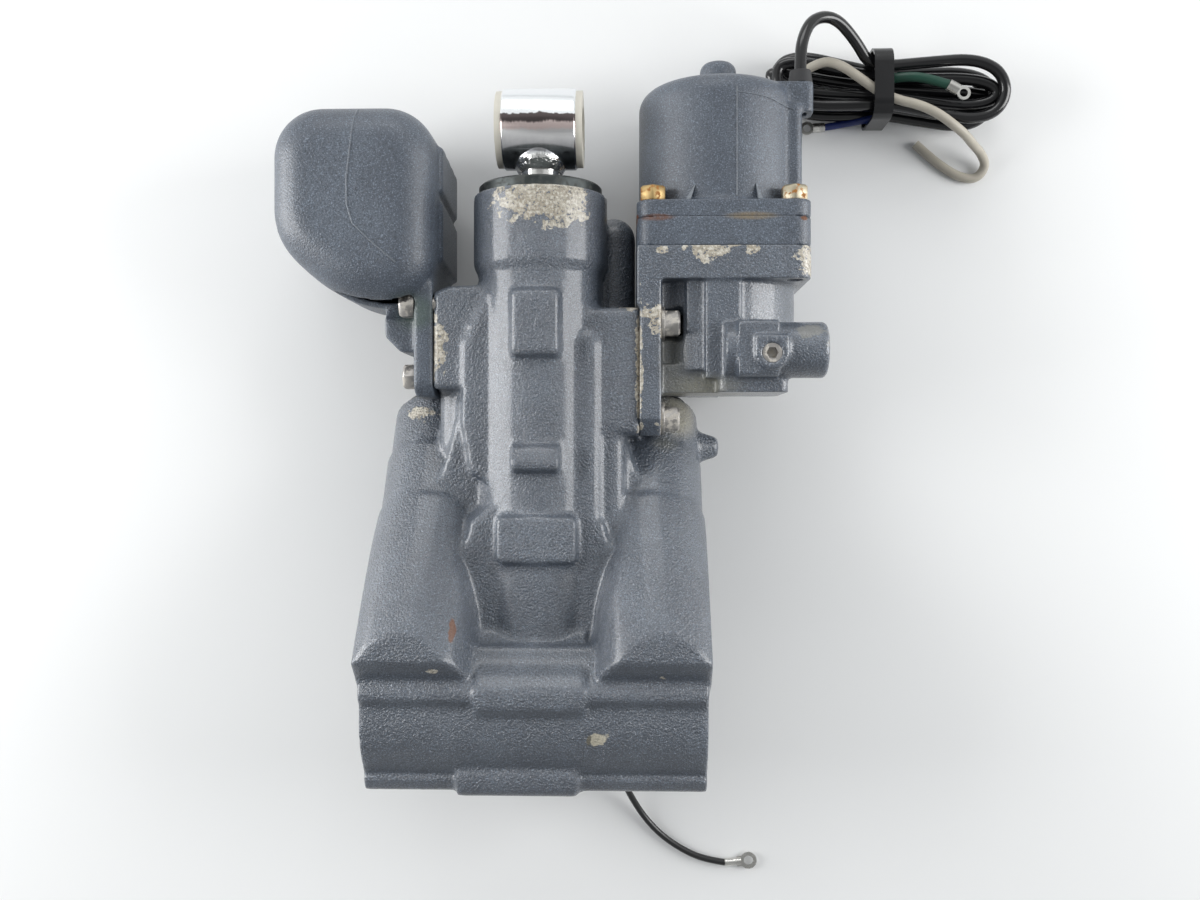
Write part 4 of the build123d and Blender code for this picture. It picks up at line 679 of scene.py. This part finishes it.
# The hank: flattened turns that sink to the table, wider at both ends than at the tie
TURNS = 5
PER_TURN = 16
HANK_X = 183
HANK_Y = 331.5
HANK_REACH = 62.5
HANK_RISE = 28.0
TURN_DROP = 4.75
LAYER_WIDTHS = (20.0, 9.0, 15.5, 4.0, 19.0, 12.0)
LOWEST_TURN = TABLE + 3.2
for step in range(1, TURNS * PER_TURN + 1):
    turn = step / PER_TURN
    angle = pi / 2 - 2 * pi * turn
    layer = int(turn + 0.25)
    reach = HANK_REACH - 2.3 * (layer % 3) - 1.2 * sin(2.1 * layer)
    x = HANK_X + reach * cos(angle)
    if x < HANK_X - 5:
        x = HANK_X - 1.5 + (reach - 1.5) * cos(angle)
    along = (x - HANK_X) / 62
    middle = HANK_Y - 4.5 * along + (5.5 * along * along if along < 0 else 0.5 * along)
    swell = 0.5 + 1.05 * abs(cos(angle)) ** 1.6
    y = middle + LAYER_WIDTHS[layer] * swell * sin(angle)
    z = TABLE + HANK_RISE - TURN_DROP * turn + 1.2 * sin(3.0 * angle + layer)
    harness_route.append((x, y, max(z, LOWEST_TURN)))
harness = cord_curve("harness", harness_route, 6.0, black_sleeve)
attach(harness, "housing")
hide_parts("harness_lead", "cable_hank")

pale_z = TABLE + 2.5
pale_route = [
    (138, 339, -34),
    (146, 343, -28.5),
    (156, 340.5, -27),
    (166, 333.5, -27),
    (176, 326, -27),
    (186, 321.5, -27),
    (197, 319, -27),
    (207, 314.5, -27),
    (216, 308.5, -28.5),
    (224, 304.5, -34),
    (230.5, 301.5, -42.5),
    (237, 299, -50),
    (241.5, 293.5, -56),
    (236.5, 286.5, pale_z),
    (227, 288, pale_z),
    (218, 293.5, pale_z),
    (210, 300, pale_z),
    (203, 306.5, pale_z),
]
pale = cord_curve("pale_cable", pale_route, 5.0, pale_jacket)
blue_end = (153, 316, TABLE + 2.7)
blue_route = [(181, 319, -50), (172, 318.4, -54), (162, 317.2, -56.6), blue_end]
blue = cord_curve("blue_cable", blue_route, 4.0, blue_jacket)
green_end = (213, 329.5, -28)
green_route = [(180, 334, -33), (190, 334.5, -28.8), (202, 333, -27.4), green_end]
green = cord_curve("green_cable", green_route, 5.0, green_jacket)
earth_turn = radians(-118)
lobe = Vector((38.5, 26.5 * cos(earth_turn), 26.5 * sin(earth_turn)))
outward = Vector((0, cos(earth_turn), sin(earth_turn)))
beside = Vector((0, sin(earth_turn), -cos(earth_turn)))
earth_z = TABLE + 2.2
earth_route = [
    tuple(lobe + beside * 10 + outward * 8),
    tuple(lobe + beside * 10 + outward * 17),
    (39.6, -37, -41.5),
    (42.5, -47, -48.5),
    (47.5, -58, -54),
    (54, -68.5, -57),
    (63, -78, earth_z),
    (75, -86, earth_z),
    (87, -91, earth_z),
    (98, -92.5, earth_z),
]
earth = cord_curve("earth_cable", earth_route, 3.5, black_jacket)
for piece, node_name, slot_name in (
    (pale, "pale_lead", "pale"),
    (blue, "blue_lead", "blue"),
    (green, "green_lead", "green"),
    (earth, "earth_lead", "black"),
):
    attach(piece, "housing")
    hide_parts(node_name)

# The table that the unit lies on
table_mesh = bmesh.new()
bmesh.ops.create_grid(table_mesh, x_segments=1, y_segments=1, size=TABLE_HALF)
bmesh.ops.translate(table_mesh, verts=table_mesh.verts, vec=metres(30, 137, TABLE))
table_data = bpy.data.meshes.new("white_table")
table_mesh.to_mesh(table_data)
table_mesh.free()
white_table = bpy.data.objects.new("white_table", table_data)
bpy.context.scene.collection.objects.link(white_table)
table_finish = Finish("white_table_top", (0.83, 0.835, 0.83), 0.9)
table_data.materials.append(table_finish.material)
